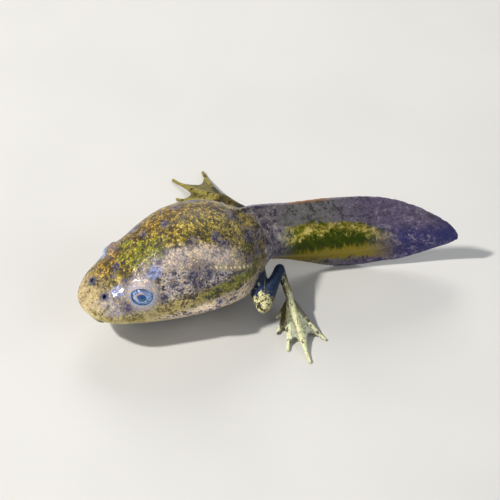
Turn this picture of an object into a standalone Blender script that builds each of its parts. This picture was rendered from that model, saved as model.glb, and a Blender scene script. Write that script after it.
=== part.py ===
"""A life-size green frog tadpole with full-grown hind legs, lying on its belly.

The snout points along -X, the tail along +X, up is +Z, and all sizes are in metres.
The body and the tail's muscle are one round form along a bent spine, parted by thin cuts.
"Behind" is a distance from the tip of the snout along the spine, and "around" is an angle
about the spine: 0 at the animal's right, a quarter turn at its back, a half turn at its left.
"""

import math

import bmesh
import bpy
from mathutils import Matrix, Vector

MM = 0.001
GAP = 0.3 * MM
UP = Vector((0, 0, 1))

BODY_LENGTH = 35 * MM
BODY_WIDTH = 20 * MM
BODY_HEIGHT = 17.6 * MM
SNOUT_START = 1.2 * MM
SNOUT_ROUNDING = 5 * MM
BELLY_PINCH = 0.53
MUSCLE_LENGTH = 29 * MM
MUSCLE_END_ROUNDING = 1 * MM
TAIL_LENGTH = 31.2 * MM
FIN_HEIGHT = 14.8 * MM

# Distance behind the snout as a share of the body's length, then half the width as a share
# of half the body's width, and top and bottom over the floor as shares of the body's height.
BODY_PROFILE = (
    (0.0, 0.50, 0.51, 0.34),
    (0.09, 0.56, 0.55, 0.27),
    (0.165, 0.64, 0.63, 0.22),
    (0.24, 0.72, 0.72, 0.15),
    (0.29, 0.77, 0.79, 0.1),
    (0.435, 0.91, 0.95, 0.01),
    (0.575, 1.00, 1.01, -0.02),
    (0.757, 0.94, 0.95, -0.025),
    (0.86, 0.65, 0.84, 0.03),
    (0.94, 0.46, 0.73, 0.125),
    (1.0, 0.32, 0.62, 0.195),
)
# The same for the tail's muscle, placed behind the body as a share of the muscle's length.
MUSCLE_PROFILE = (
    (0.06, 0.29, 0.575, 0.19),
    (0.18, 0.235, 0.52, 0.165),
    (0.36, 0.18, 0.475, 0.155),
    (0.62, 0.115, 0.43, 0.20),
    (0.85, 0.055, 0.385, 0.265),
    (1.00, 0.03, 0.35, 0.30),
)
# Place behind the body as a share of the tail's length, then the upper and the lower fin's
# edge over the floor as shares of the fins' full height.
FIN_PROFILE = (
    (-0.24, 1.08, 0.26),
    (-0.12, 1.06, 0.24),
    (0.00, 1.01, 0.19),
    (0.10, 0.99, 0.155),
    (0.20, 1.005, 0.10),
    (0.30, 1.03, 0.035),
    (0.40, 1.04, -0.005),
    (0.50, 1.03, 0.022),
    (0.60, 0.99, 0.072),
    (0.70, 0.925, 0.10),
    (0.80, 0.83, 0.16),
    (0.88, 0.72, 0.225),
    (0.95, 0.605, 0.285),
    (1.00, 0.515, 0.335),
)
TAIL_SWING = math.radians(24)
TAIL_TIP_SWING = math.radians(27)
TAIL_SWING_START = 0.86 * BODY_LENGTH
TAIL_SWING_REACH = 0.26 * BODY_LENGTH
UPPER_FIN_START = -0.16
LOWER_FIN_START = 0.03
FIN_ROOT_THICKNESS = 0.9 * MM
FIN_EDGE_THICKNESS = 0.55 * MM
FIN_LEAST_HEIGHT = 0.35 * MM
FIN_RIPPLE = 0.2 * MM
FIN_RIPPLE_LENGTH = 16 * MM
FIN_TIP_ROUNDING = 2 * MM
FIN_COLUMNS = 40
FIN_COLUMN_CROWDING = 1.35
FIN_ROWS = 4

TRUNK_RINGS = 50
TRUNK_SPOKES = 32
NECK = 13.6 * MM
TAIL_MIDDLE = BODY_LENGTH + 15 * MM

EYE_RADIUS = 2.1 * MM
EYE_BEHIND = 9.3 * MM
EYE_AROUND = math.radians(40)
EYE_STANDS_OUT = 0.8 * MM
LID_THICKNESS = 0.34 * MM
NOSTRIL_BEHIND = 4.3 * MM
NOSTRIL_AROUND = math.radians(67)
NOSTRIL_RADIUS = 0.36 * MM
NOSTRIL_RIM = 0.17 * MM
MOUTH_BEHIND = 3.7 * MM
MOUTH_WIDTH = 4.2 * MM
MOUTH_HEIGHT = 2.5 * MM
LIP_THICKNESS = 0.45 * MM
BEAK_THICKNESS = 0.22 * MM
SPIRACLE_BEHIND = 20.3 * MM
SPIRACLE_LENGTH = 4.2 * MM
SPIRACLE_AROUND = math.radians(187)
SPIRACLE_RADIUS = 0.8 * MM
VENT_RADIUS = 0.65 * MM

# Hip, knee, heel and ankle of each leg. The animal's left is at -Y.
LEG_JOINTS = {
    "left": ((13.1, -2.1, 6.0), (9.9, -12.6, 6.0), (16.3, -6.4, 6.0), (15.6, -11.0, 4.0)),
    "right": ((13.1, 2.1, 6.0), (10.8, 13.2, 4.5), (18.9, 8.6, 5.0), (17.4, 15.3, 4.0)),
}
THIGH_RADII = (2.1 * MM, 1.85 * MM, 1.5 * MM, 1.4 * MM)
SHANK_RADII = (1.35 * MM, 1.3 * MM, 1.05 * MM, 0.85 * MM)
TARSUS_RADII = (0.85 * MM, 0.7 * MM, 0.75 * MM)
# The fourth toe's way over the floor, turned outward from straight back.
FOOT_HEADING = {"left": math.radians(103), "right": math.radians(106)}
# Each toe from the first: its turn from the fourth toe, and its reach over the floor.
TOES = {
    "left": ((60, 2.9), (39, 5.0), (18, 8.5), (0, 11.6), (-27, 8.3)),
    "right": ((60, 2.9), (41, 5.4), (20, 8.4), (0, 11.9), (-27, 10.9)),
}
TOE_RADIUS = 0.5 * MM
TOE_TIP_RADIUS = 0.3 * MM
TOE_TIP_HEIGHT = 0.22 * MM
FIRST_TOE_TIP_HEIGHT = 1.4 * MM
FOOT_SLOPE = 1.5
WEB_THICKNESS = 0.55 * MM
WEB_START = 0.14
WEB_REACH = 0.93
WEB_NOTCH = 0.27
WEB_COLUMNS = 4
WEB_ROWS = 6

SPINE_STEP = 0.25 * MM
END_TURNS = (math.radians(40), math.radians(75))
WELD = 0.002 * MM
BOOLEAN_WELD = 0.0001 * MM


def clear_scene():
    for obj in list(bpy.data.objects):
        bpy.data.objects.remove(obj)


def new_collection(name):
    collection = bpy.data.collections.new(name)
    bpy.context.scene.collection.children.link(collection)
    return collection


def smooth_between(rows, at):
    """The values of a table of rows at a place between them, on a smooth curve."""
    rows = [rows[0], *rows, rows[-1]]
    place = 1
    while place < len(rows) - 3 and at >= rows[place + 1][0]:
        place += 1
    before, start, end, after = rows[place - 1 : place + 3]
    span = end[0] - start[0]
    share = min(max((at - start[0]) / span, 0.0), 1.0)
    values = []
    for column in range(1, len(start)):
        slope_in = (end[column] - before[column]) / (end[0] - before[0]) * span
        slope_out = (after[column] - start[column]) / (after[0] - start[0]) * span
        values.append(
            start[column] * (2 * share**3 - 3 * share**2 + 1)
            + slope_in * (share**3 - 2 * share**2 + share)
            + end[column] * (3 * share**2 - 2 * share**3)
            + slope_out * (share**3 - share**2)
        )
    return values


def ease(share):
    """0 to 1 with a level start and end."""
    share = min(max(share, 0.0), 1.0)
    return share * share * (3 - 2 * share)


def walk_spine():
    """Points of the spine over the floor, SPINE_STEP apart, with the way back at each."""
    points = []
    place = Vector((-BODY_LENGTH / 2, 0, 0))
    for step in range(int((BODY_LENGTH + TAIL_LENGTH) / SPINE_STEP) + 2):
        behind = step * SPINE_STEP
        swing = TAIL_SWING * ease((behind - TAIL_SWING_START) / TAIL_SWING_REACH)
        swing += (TAIL_TIP_SWING - TAIL_SWING) * ease((behind - BODY_LENGTH) / TAIL_LENGTH)
        back = Vector((math.cos(swing), -math.sin(swing), 0))
        points.append((place.copy(), back))
        place += back * SPINE_STEP
    return points


def spine_at(behind):
    """The spine's point over the floor, the way back, and the way to the animal's right."""
    steps = min(max(behind / SPINE_STEP, 0.0), len(SPINE) - 1.001)
    first = int(steps)
    place = SPINE[first][0].lerp(SPINE[first + 1][0], steps - first)
    back = SPINE[first][1].lerp(SPINE[first + 1][1], steps - first).normalized()
    return place, back, UP.cross(back)


def round_off(left, length, power=2.0):
    """How far a form has swollen at a distance from its rounded end, from 0 to 1."""
    return math.sqrt(max(1 - max(1 - left / length, 0.0) ** power, 0.0))


def section_at(behind):
    """Half the width, the middle's height, and the rise and drop from it, of the trunk."""
    half_width, top, bottom = smooth_between(TRUNK_PROFILE, behind)
    middle = bottom + 0.46 * (top - bottom)
    rounding = round_off(behind - SNOUT_START, SNOUT_ROUNDING, 2.2)
    rounding *= round_off(BODY_LENGTH + MUSCLE_LENGTH - behind, MUSCLE_END_ROUNDING)
    return half_width * rounding, middle, (top - middle) * rounding, (middle - bottom) * rounding


def trunk_point(behind, around, grow=0.0):
    """A point of the skin of the body or of the tail's muscle, or outside it by grow."""
    half_width, middle, rise, drop = section_at(behind)
    place, _, right = spine_at(behind)
    sideways, upward = math.cos(around), math.sin(around)
    height = (rise if upward > 0 else drop) + grow
    sideways *= 1 - BELLY_PINCH * min(upward, 0.0) ** 2
    return place + right * (half_width + grow) * sideways + UP * (middle + height * upward)


def trunk_normal(behind, around):
    """The way out of the skin at a point."""
    along = trunk_point(behind + 0.2 * MM, around) - trunk_point(behind - 0.2 * MM, around)
    turned = trunk_point(behind, around + 0.05) - trunk_point(behind, around - 0.05)
    return turned.cross(along).normalized()


clear_scene()
MODEL = new_collection("green_frog_tadpole")
TRUNK_PROFILE = [
    (share * BODY_LENGTH, half * BODY_WIDTH / 2, top * BODY_HEIGHT, bottom * BODY_HEIGHT)
    for share, half, top, bottom in BODY_PROFILE
]
TRUNK_PROFILE += [
    (
        BODY_LENGTH + share * MUSCLE_LENGTH,
        half * BODY_WIDTH / 2,
        top * BODY_HEIGHT,
        bottom * BODY_HEIGHT,
    )
    for share, half, top, bottom in MUSCLE_PROFILE
]
SPINE = walk_spine()


def mesh_object(name, shape):
    """An object in the model's collection from a bmesh, which is used up."""
    mesh = bpy.data.meshes.new(name)
    shape.to_mesh(mesh)
    shape.free()
    obj = bpy.data.objects.new(name, mesh)
    MODEL.objects.link(obj)
    return obj


def face_outward(shape):
    """Turns the faces of a closed form to its outside."""
    bmesh.ops.recalc_face_normals(shape, faces=shape.faces)
    if shape.calc_volume(signed=True) < 0:
        bmesh.ops.reverse_faces(shape, faces=shape.faces)


def reshaped_sphere(name, rings, spokes, place):
    """A sphere whose points go to place(along, around), along from 0 at one pole to 1."""
    shape = bmesh.new()
    bmesh.ops.create_uvsphere(shape, u_segments=spokes, v_segments=rings, radius=1)
    for point in shape.verts:
        along = math.acos(min(max(-point.co.z, -1), 1)) / math.pi
        point.co = place(along, math.atan2(point.co.y, point.co.x))
    face_outward(shape)
    return mesh_object(name, shape)


def ball(name, centre, axis, size, rings=12, spokes=18):
    """An oval ball with its poles along the axis, and half sizes sideways, upright and along."""
    turn = axis.to_track_quat("Z", "Y").to_matrix()

    def place(along, around):
        across = math.sin(along * math.pi)
        point = (across * math.cos(around), across * math.sin(around), -math.cos(along * math.pi))
        return centre + turn @ Vector([part * half for part, half in zip(point, size)])

    return reshaped_sphere(name, rings, spokes, place)


def ring(name, centre, axis, half_width, half_height, thickness, steps=20, sides=8):
    """An oval ring of round section about an axis."""
    bpy.ops.mesh.primitive_torus_add(
        major_radius=half_width, minor_radius=thickness, major_segments=steps, minor_segments=sides
    )
    obj = bpy.context.object
    for collection in list(obj.users_collection):
        collection.objects.unlink(obj)
    MODEL.objects.link(obj)
    obj.name = name
    turn = axis.to_track_quat("Z", "Y").to_matrix().to_4x4()
    squash = Matrix.Diagonal((1, half_height / half_width, 1, 1))
    obj.data.transform(Matrix.Translation(centre) @ turn @ squash)
    return obj


def tube(name, stations, roundness=4, steps=3):
    """A round closed form along a smooth line of (point, radius), with rounded ends."""
    rows = [(place, *point, radius) for place, (point, radius) in enumerate(stations)]
    count = steps * (len(rows) - 1)
    path = [smooth_between(rows, step / steps) for step in range(count + 1)]
    path = [*reversed(rounded_end(path[0], path[1])), *path, *rounded_end(path[-1], path[-2])]
    curve = bpy.data.curves.new(name, "CURVE")
    curve.dimensions = "3D"
    curve.bevel_depth = 1
    curve.bevel_resolution = roundness
    curve.use_fill_caps = True
    spline = curve.splines.new("POLY")
    spline.points.add(len(path) - 1)
    for point, (x, y, z, radius) in zip(spline.points, path):
        point.co = (x, y, z, 1)
        point.radius = radius
    obj = bpy.data.objects.new(name, curve)
    MODEL.objects.link(obj)
    return curve_to_mesh(obj)


def rounded_end(end, before):
    """Points and radii that round a tube off beyond its end, from the end outward."""
    centre, radius = Vector(end[:3]), end[3]
    outward = (centre - Vector(before[:3])).normalized()
    return [
        (*(centre + outward * radius * math.sin(turn)), radius * math.cos(turn))
        for turn in END_TURNS
    ]


def curve_to_mesh(obj):
    """A closed mesh object in the place of a curve object, with the curve's caps welded on."""
    graph = bpy.context.evaluated_depsgraph_get()
    mesh = bpy.data.meshes.new_from_object(obj.evaluated_get(graph))
    shape = bmesh.new()
    shape.from_mesh(mesh)
    bmesh.ops.remove_doubles(shape, verts=shape.verts, dist=WELD)
    face_outward(shape)
    name = obj.name
    bpy.data.meshes.remove(mesh)
    bpy.data.objects.remove(obj)
    return mesh_object(name, shape)


def apply_modifiers(obj):
    graph = bpy.context.evaluated_depsgraph_get()
    mesh = bpy.data.meshes.new_from_object(obj.evaluated_get(graph))
    obj.modifiers.clear()
    obj.data = mesh


def box_volume(points):
    sides = [[point.co[axis] for point in points] for axis in range(3)]
    return math.prod(max(side) - min(side) for side in sides)


def keep_largest(obj):
    """Drops every closed surface of the object but the one that takes most room."""
    shape = bmesh.new()
    shape.from_mesh(obj.data)
    bmesh.ops.remove_doubles(shape, verts=shape.verts, dist=BOOLEAN_WELD)
    waiting = set(shape.verts)
    surfaces = []
    while waiting:
        surface = set()
        front = [next(iter(waiting))]
        while front:
            point = front.pop()
            if point in waiting:
                waiting.discard(point)
                surface.add(point)
                front.extend(edge.other_vert(point) for edge in point.link_edges)
        surfaces.append(surface)
    largest = max(surfaces, key=box_volume)
    rest = [point for point in shape.verts if point not in largest]
    bmesh.ops.delete(shape, geom=rest, context="VERTS")
    face_outward(shape)
    shape.to_mesh(obj.data)
    shape.free()


def fuse(obj, pieces):
    """Joins closed pieces to the object with one Boolean union, and removes them."""
    group = bpy.data.collections.new("pieces_to_fuse")
    for piece in pieces:
        group.objects.link(piece)
    union = obj.modifiers.new("fuse", "BOOLEAN")
    union.operation = "UNION"
    union.operand_type = "COLLECTION"
    union.collection = group
    apply_modifiers(obj)
    for piece in pieces:
        bpy.data.objects.remove(piece)
    bpy.data.collections.remove(group)
    keep_largest(obj)


def cut_out(obj, cutter):
    """Cuts the cutter's form out of the object, and removes the cutter."""
    cut = obj.modifiers.new("cut", "BOOLEAN")
    cut.operation = "DIFFERENCE"
    cut.object = cutter
    apply_modifiers(obj)
    bpy.data.objects.remove(cutter)
    keep_largest(obj)


def cut_flat(obj, point, outward):
    """Cuts the object by a plane, caps it, and drops what lies on the outward side."""
    shape = bmesh.new()
    shape.from_mesh(obj.data)
    parts = [*shape.verts, *shape.edges, *shape.faces]
    bmesh.ops.bisect_plane(
        shape, geom=parts, dist=WELD, plane_co=point, plane_no=outward, clear_outer=True
    )
    rim = [edge for edge in shape.edges if edge.is_boundary]
    bmesh.ops.holes_fill(shape, edges=rim)
    bmesh.ops.triangulate(shape, faces=[face for face in shape.faces if len(face.verts) > 4])
    face_outward(shape)
    shape.to_mesh(obj.data)
    shape.free()


def rest_on_floor(obj):
    cut_flat(obj, Vector((0, 0, 0)), -UP)


def copy_of(obj, name):
    twin = bpy.data.objects.new(name, obj.data.copy())
    MODEL.objects.link(twin)
    return twin


def trunk(name, grow=0.0):
    """The body and the tail's muscle as one round form, swollen by grow as a cutter."""
    full = BODY_LENGTH + MUSCLE_LENGTH

    def place(along, around):
        eased = (1 - math.cos(along * math.pi)) / 2
        behind = SNOUT_START + (full - SNOUT_START) * (0.55 * along + 0.45 * eased) ** 1.1
        _, back, _ = spine_at(behind)
        beyond = {0.0: -grow, 1.0: grow}.get(along, 0.0)
        return trunk_point(behind, around, 0 if beyond else grow) + back * beyond

    return reshaped_sphere(name, TRUNK_RINGS, TRUNK_SPOKES, place)


def part_trunk():
    """The trunk cut into head, torso and two lengths of tail muscle, GAP apart."""
    whole = trunk("whole")
    cuts = (NECK, BODY_LENGTH, TAIL_MIDDLE)
    names = ("head", "torso", "tail_muscle_front", "tail_muscle_rear")
    pieces = {}
    for place, name in enumerate(names):
        piece = copy_of(whole, name)
        if place > 0:
            point, back, _ = spine_at(cuts[place - 1])
            cut_flat(piece, point + back * GAP / 2, -back)
        if place < len(cuts):
            point, back, _ = spine_at(cuts[place])
            cut_flat(piece, point - back * GAP / 2, back)
        pieces[name] = piece
    bpy.data.objects.remove(whole)
    return pieces


def on_side(side, around):
    """The angle about the spine for a feature's angle up from one side."""
    return around if side == "right" else math.pi - around


def eye_centre(side):
    around = on_side(side, EYE_AROUND)
    outward = trunk_normal(EYE_BEHIND, around)
    return trunk_point(EYE_BEHIND, around) - outward * (EYE_RADIUS - EYE_STANDS_OUT), outward


def eye_and_socket(side):
    """Makes an eye, and gives its rim of lids and the cutter of its socket."""
    centre, outward = eye_centre(side)
    ball(f"eye_{side}", centre, outward, (EYE_RADIUS,) * 3)
    socket = EYE_RADIUS + GAP
    skin = EYE_RADIUS - EYE_STANDS_OUT
    opening = math.sqrt(socket**2 - skin**2) + 0.1 * MM
    lids = ring("lids", centre + outward * skin, outward, opening, opening, LID_THICKNESS)
    return lids, ball("socket", centre, outward, (socket,) * 3)


def nostril(side):
    """A nostril's raised rim, and the cutter of its pit."""
    around = on_side(side, NOSTRIL_AROUND)
    point = trunk_point(NOSTRIL_BEHIND, around)
    outward = trunk_normal(NOSTRIL_BEHIND, around)
    radius = 1.3 * NOSTRIL_RADIUS
    rim = ring("rim", point, outward, radius, radius, NOSTRIL_RIM, 12, 6)
    pit = (NOSTRIL_RADIUS, NOSTRIL_RADIUS, 2 * NOSTRIL_RADIUS)
    return rim, ball("pit", point, outward, pit, 8, 10)


def mouth():
    """The oral disc under the snout: rings of lips and beaks, and the cutter of its line."""
    point = trunk_point(MOUTH_BEHIND, -math.pi / 2)
    outward = trunk_normal(MOUTH_BEHIND, -math.pi / 2)
    lips = ring("lips", point, outward, MOUTH_WIDTH / 2, MOUTH_HEIGHT / 2, LIP_THICKNESS)
    beak = ring("beak", point, outward, 0.24 * MOUTH_WIDTH, 0.17 * MOUTH_WIDTH, BEAK_THICKNESS)
    slit = (0.2 * MOUTH_WIDTH, 0.09 * MOUTH_WIDTH, 0.2 * MOUTH_WIDTH)
    return [lips, beak], ball("slit", point, outward, slit, 8, 14)


def add_face(head):
    """Fuses the lids, nostril rims, lips and beaks on the head, then cuts their openings."""
    raised, cutter = mouth()
    cutters = [cutter]
    for side in ("left", "right"):
        for rim, opening in (eye_and_socket(side), nostril(side)):
            raised.append(rim)
            cutters.append(opening)
    fuse(head, raised)
    for cutter in cutters:
        cut_out(head, cutter)


def add_spiracle(torso):
    """The short breathing tube on the left flank, open to the rear."""
    stations = []
    for share, raised in ((0, -0.9), (0.35, -0.35), (0.7, 0.1), (1, 0.35)):
        behind = SPIRACLE_BEHIND - (1 - share) * SPIRACLE_LENGTH
        around = SPIRACLE_AROUND - math.radians(4) * share
        point = trunk_point(behind, around, raised * SPIRACLE_RADIUS)
        stations.append((point, SPIRACLE_RADIUS * (1 - 0.15 * share)))
    fuse(torso, [tube("spiracle", stations)])
    end = stations[-1][0]
    back = (end - stations[-2][0]).normalized()
    bore = (0.5 * SPIRACLE_RADIUS, 0.5 * SPIRACLE_RADIUS, 1.6 * SPIRACLE_RADIUS)
    cut_out(torso, ball("bore", end + back * 0.9 * SPIRACLE_RADIUS, back, bore, 8, 10))


def add_vent(torso):
    """The vent's short tube, to the right of the lower fin's root."""
    stations = []
    for behind, aside, rise in ((-3.0, 0.1, 1.0), (-1.0, 0.7, 0.1), (0.7, 1.35, -0.55)):
        place, _, right = spine_at(BODY_LENGTH + behind * MM)
        _, middle, _, drop = section_at(BODY_LENGTH + behind * MM)
        point = place + right * aside * MM + UP * (middle - drop + rise * MM)
        stations.append((point, VENT_RADIUS))
    fuse(torso, [tube("vent", stations)])


def fin_root(behind, upper):
    """The height where a fin starts, GAP clear of the trunk or of the other fin."""
    _, middle, rise, drop = section_at(min(behind, BODY_LENGTH + MUSCLE_LENGTH))
    beyond = min(max((behind - BODY_LENGTH - MUSCLE_LENGTH) / MM, 0.0), 1.0)
    clear = GAP * (1 - 0.5 * beyond)
    return middle + rise + clear if upper else middle - drop - clear


def fin_point(share, up, upper):
    """A point of a fin's middle sheet: share along the tail, and up from root to edge."""
    behind = BODY_LENGTH + share * TAIL_LENGTH
    place, _, right = spine_at(behind)
    edges = smooth_between(FIN_PROFILE, share)
    root = fin_root(behind, upper)
    edge = edges[0 if upper else 1] * FIN_HEIGHT
    edge = root + (edge - root) * round_off((1 - share) * TAIL_LENGTH, FIN_TIP_ROUNDING)
    edge = max(edge, root + FIN_LEAST_HEIGHT) if upper else min(edge, root - FIN_LEAST_HEIGHT)
    wave = math.sin(2 * math.pi * share * TAIL_LENGTH / FIN_RIPPLE_LENGTH)
    ripple = FIN_RIPPLE * wave * ease(share * 2) * up**2 * (1 if upper else -1)
    return place + right * ripple + UP * (root + (edge - root) * up)


def fin(name, start, upper):
    """A thin sheet from the trunk to the fin's edge, thicker at its root, and its columns closer
    together towards the tail's tip."""
    shape = bmesh.new()
    bmesh.ops.create_grid(shape, x_segments=FIN_COLUMNS, y_segments=FIN_ROWS, size=1)
    heights = {}
    for point in shape.verts:
        along, up = (point.co.x + 1) / 2, (point.co.y + 1) / 2
        share = start + (1 - start) * (1 - (1 - along) ** FIN_COLUMN_CROWDING)
        point.co = fin_point(share, up, upper)
        heights[point.index] = up
    bmesh.ops.triangulate(shape, faces=shape.faces)
    obj = mesh_object(name, shape)
    group = obj.vertex_groups.new(name="thickness")
    for index, up in heights.items():
        group.add([index], 1 - up, "REPLACE")
    sheet = obj.modifiers.new("thickness", "SOLIDIFY")
    sheet.thickness = FIN_ROOT_THICKNESS
    sheet.offset = 0
    sheet.vertex_group = group.name
    sheet.thickness_vertex_group = FIN_EDGE_THICKNESS / FIN_ROOT_THICKNESS
    apply_modifiers(obj)
    obj.vertex_groups.clear()
    return obj


def along_line(start, end, radii):
    """Stations from start to end with the radii evenly between."""
    last = len(radii) - 1
    return [(start.lerp(end, place / last), radius) for place, radius in enumerate(radii)]


def parting(joint, first, second):
    """The normal of the plane at a joint that lies midway between its two limbs."""
    return ((first - joint).normalized() - (second - joint).normalized()).normalized()


def toe_line(side, toe, ankle):
    """A function that gives a toe's middle line from the ankle, at 0, to its tip, at 1."""
    turn, reach = TOES[side][toe]
    outward = -1 if side == "left" else 1
    heading = FOOT_HEADING[side] + math.radians(turn)
    way = Vector((math.cos(heading), outward * math.sin(heading), 0))
    tip_height = FIRST_TOE_TIP_HEIGHT if toe == 0 else TOE_TIP_HEIGHT

    def point(share):
        over_floor = Vector((ankle.x, ankle.y, 0)) + way * reach * MM * share
        height = tip_height + (ankle.z - tip_height) * (1 - share) ** FOOT_SLOPE
        return over_floor + UP * height

    return point


def web(lines):
    """The sheet of skin between the toes, with a notch between each pair."""
    shape = bmesh.new()
    columns = WEB_COLUMNS * (len(lines) - 1)
    bmesh.ops.create_grid(shape, x_segments=columns, y_segments=WEB_ROWS, size=1)
    for vertex in shape.verts:
        across = round((vertex.co.x + 1) / 2 * columns) / WEB_COLUMNS
        first = min(int(across), len(lines) - 2)
        between = across - first
        reach = WEB_REACH - WEB_NOTCH * math.sin(math.pi * between) ** 0.8
        share = WEB_START + (reach - WEB_START) * (vertex.co.y + 1) / 2
        vertex.co = lines[first](share).lerp(lines[first + 1](share), between)
    bmesh.ops.triangulate(shape, faces=shape.faces)
    obj = mesh_object("web", shape)
    sheet = obj.modifiers.new("thickness", "SOLIDIFY")
    sheet.thickness = WEB_THICKNESS
    sheet.offset = 0
    apply_modifiers(obj)
    return obj


def foot(side, knee, heel, ankle):
    """The tarsus, five toes and the web between them, fused in one closed form."""
    obj = tube(f"{side}_foot", along_line(heel, ankle, TARSUS_RADII))
    normal = parting(heel, ankle, knee)
    cut_flat(obj, heel + normal * GAP / 2, -normal)
    lines = [toe_line(side, toe, ankle) for toe in range(5)]
    pieces = [web(lines)]
    for line in lines:
        stations = []
        for share in (0, 0.35, 0.7, 1):
            radius = TOE_RADIUS + (TOE_TIP_RADIUS - TOE_RADIUS) * share
            stations.append((line(share), radius))
        pieces.append(tube("toe", stations, 2, 2))
    fuse(obj, pieces)
    rest_on_floor(obj)


def leg(side):
    """A folded hind leg: thigh and shank parted at the knee, and shank and foot at the heel."""
    hip, knee, heel, ankle = (Vector(joint) * MM for joint in LEG_JOINTS[side])
    thigh = tube(f"{side}_thigh", along_line(hip, knee, THIGH_RADII))
    shank = tube(f"{side}_shank", along_line(knee, heel, SHANK_RADII))
    normal = parting(knee, hip, heel)
    cut_flat(thigh, knee + normal * GAP / 2, -normal)
    cut_flat(shank, knee - normal * GAP / 2, normal)
    normal = parting(heel, knee, ankle)
    cut_flat(shank, heel + normal * GAP / 2, -normal)
    cut_out(thigh, trunk("clearance", GAP))
    cut_out(shank, trunk("clearance", GAP))
    foot(side, knee, heel, ankle)


def paint(name, colour, roughness):
    """A matt or moist skin colour on a node."""
    made = bpy.data.materials.new(name)
    made.use_nodes = True
    shader = made.node_tree.nodes["Principled BSDF"]
    shader.inputs["Base Color"].default_value = (*colour, 1)
    shader.inputs["Roughness"].default_value = roughness
    shader.inputs["Metallic"].default_value = 0
    obj = bpy.data.objects[name]
    obj.data.materials.clear()
    obj.data.materials.append(made)


def stand_at_origin():
    """Puts every node under one empty, which sets the middle of the model's box at the origin."""
    corners = [vertex.co for obj in MODEL.objects for vertex in obj.data.vertices]
    middle = Vector((0, 0, 0))
    for axis in range(2):
        places = [corner[axis] for corner in corners]
        middle[axis] = (min(places) + max(places)) / 2
    root = bpy.data.objects.new("model_origin", None)
    for obj in MODEL.objects:
        obj.parent = root
    MODEL.objects.link(root)
    root.location = -middle


OLIVE = (0.16, 0.13, 0.05)
GOLD_OLIVE = (0.22, 0.17, 0.06)
DARK_BLUE = (0.05, 0.07, 0.12)
MUSCLE_GREEN = (0.07, 0.09, 0.03)
FIN_MAUVE = (0.16, 0.12, 0.12)
EYE_BLUE = (0.12, 0.17, 0.25)
FOOT_CREAM = (0.45, 0.45, 0.25)

COLOURS = {
    "head": (GOLD_OLIVE, 0.4),
    "torso": (OLIVE, 0.4),
    "tail_muscle_front": (MUSCLE_GREEN, 0.4),
    "tail_muscle_rear": (MUSCLE_GREEN, 0.4),
    "dorsal_fin": (FIN_MAUVE, 0.35),
    "ventral_fin": (FIN_MAUVE, 0.35),
    "eye_left": (EYE_BLUE, 0.1),
    "eye_right": (EYE_BLUE, 0.1),
    "left_thigh": (DARK_BLUE, 0.4),
    "left_shank": (DARK_BLUE, 0.4),
    "left_foot": (FOOT_CREAM, 0.35),
    "right_thigh": (DARK_BLUE, 0.4),
    "right_shank": (DARK_BLUE, 0.4),
    "right_foot": (FOOT_CREAM, 0.35),
}


def main():
    pieces = part_trunk()
    add_face(pieces["head"])
    add_spiracle(pieces["torso"])
    add_vent(pieces["torso"])
    rest_on_floor(pieces["head"])
    rest_on_floor(pieces["torso"])
    fin("dorsal_fin", UPPER_FIN_START, True)
    rest_on_floor(fin("ventral_fin", LOWER_FIN_START, False))
    for side in ("left", "right"):
        leg(side)
    for name, (colour, roughness) in COLOURS.items():
        paint(name, colour, roughness)
    stand_at_origin()


main()
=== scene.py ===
"""Dresses the still model of a green frog tadpole with hind legs.

One seamless skin takes the place of the model's flesh, and the eyes and beaks are pieces of
their own. Lengths are in metres. "Behind" is a distance from the tip of the snout along the
spine, and "around" is an angle about the spine: 0 at the animal's right, a quarter turn at
its back and a half turn at its left.
"""

import math

import bmesh
import bpy
import numpy as np
from bpy.props import FloatProperty, FloatVectorProperty, IntProperty, PointerProperty
from mathutils import Matrix, Vector


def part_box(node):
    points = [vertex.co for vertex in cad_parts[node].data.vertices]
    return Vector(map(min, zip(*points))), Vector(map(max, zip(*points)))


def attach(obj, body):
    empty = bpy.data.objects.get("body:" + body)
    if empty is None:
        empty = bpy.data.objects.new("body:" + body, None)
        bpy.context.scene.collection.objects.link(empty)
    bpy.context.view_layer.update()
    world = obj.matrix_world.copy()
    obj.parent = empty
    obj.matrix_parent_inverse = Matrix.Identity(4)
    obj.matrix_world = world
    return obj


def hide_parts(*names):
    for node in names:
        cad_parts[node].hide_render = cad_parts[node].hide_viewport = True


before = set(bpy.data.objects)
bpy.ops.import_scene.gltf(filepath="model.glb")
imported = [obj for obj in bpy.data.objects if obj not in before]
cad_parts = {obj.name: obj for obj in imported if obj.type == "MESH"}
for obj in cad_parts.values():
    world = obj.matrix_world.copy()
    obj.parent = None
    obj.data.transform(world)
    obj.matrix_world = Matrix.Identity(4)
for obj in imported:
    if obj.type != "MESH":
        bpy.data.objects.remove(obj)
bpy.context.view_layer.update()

bl_info = {
    "name": "Tadpole Model Dresser",
    "version": (1, 0, 0),
    "blender": (4, 5, 0),
    "location": "3D View > Sidebar > Tadpole",
    "description": "Skin, eyes, beaks and stage for a life-size tadpole model",
    "category": "Object",
}

MM = 0.001
UP = Vector((0, 0, 1))
SIDES = {"left": -1, "right": 1}

BODY_LENGTH = 35 * MM
BODY_WIDTH = 20 * MM
BODY_HEIGHT = 17.6 * MM
SNOUT_START = 1.2 * MM
SNOUT_ROUNDING = 5 * MM
BELLY_PINCH = 0.53
MUSCLE_LENGTH = 29 * MM
MUSCLE_END_ROUNDING = 1 * MM
TRUNK_LENGTH = BODY_LENGTH + MUSCLE_LENGTH
TAIL_LENGTH = 31.2 * MM
FIN_HEIGHT = 14.8 * MM

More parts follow.
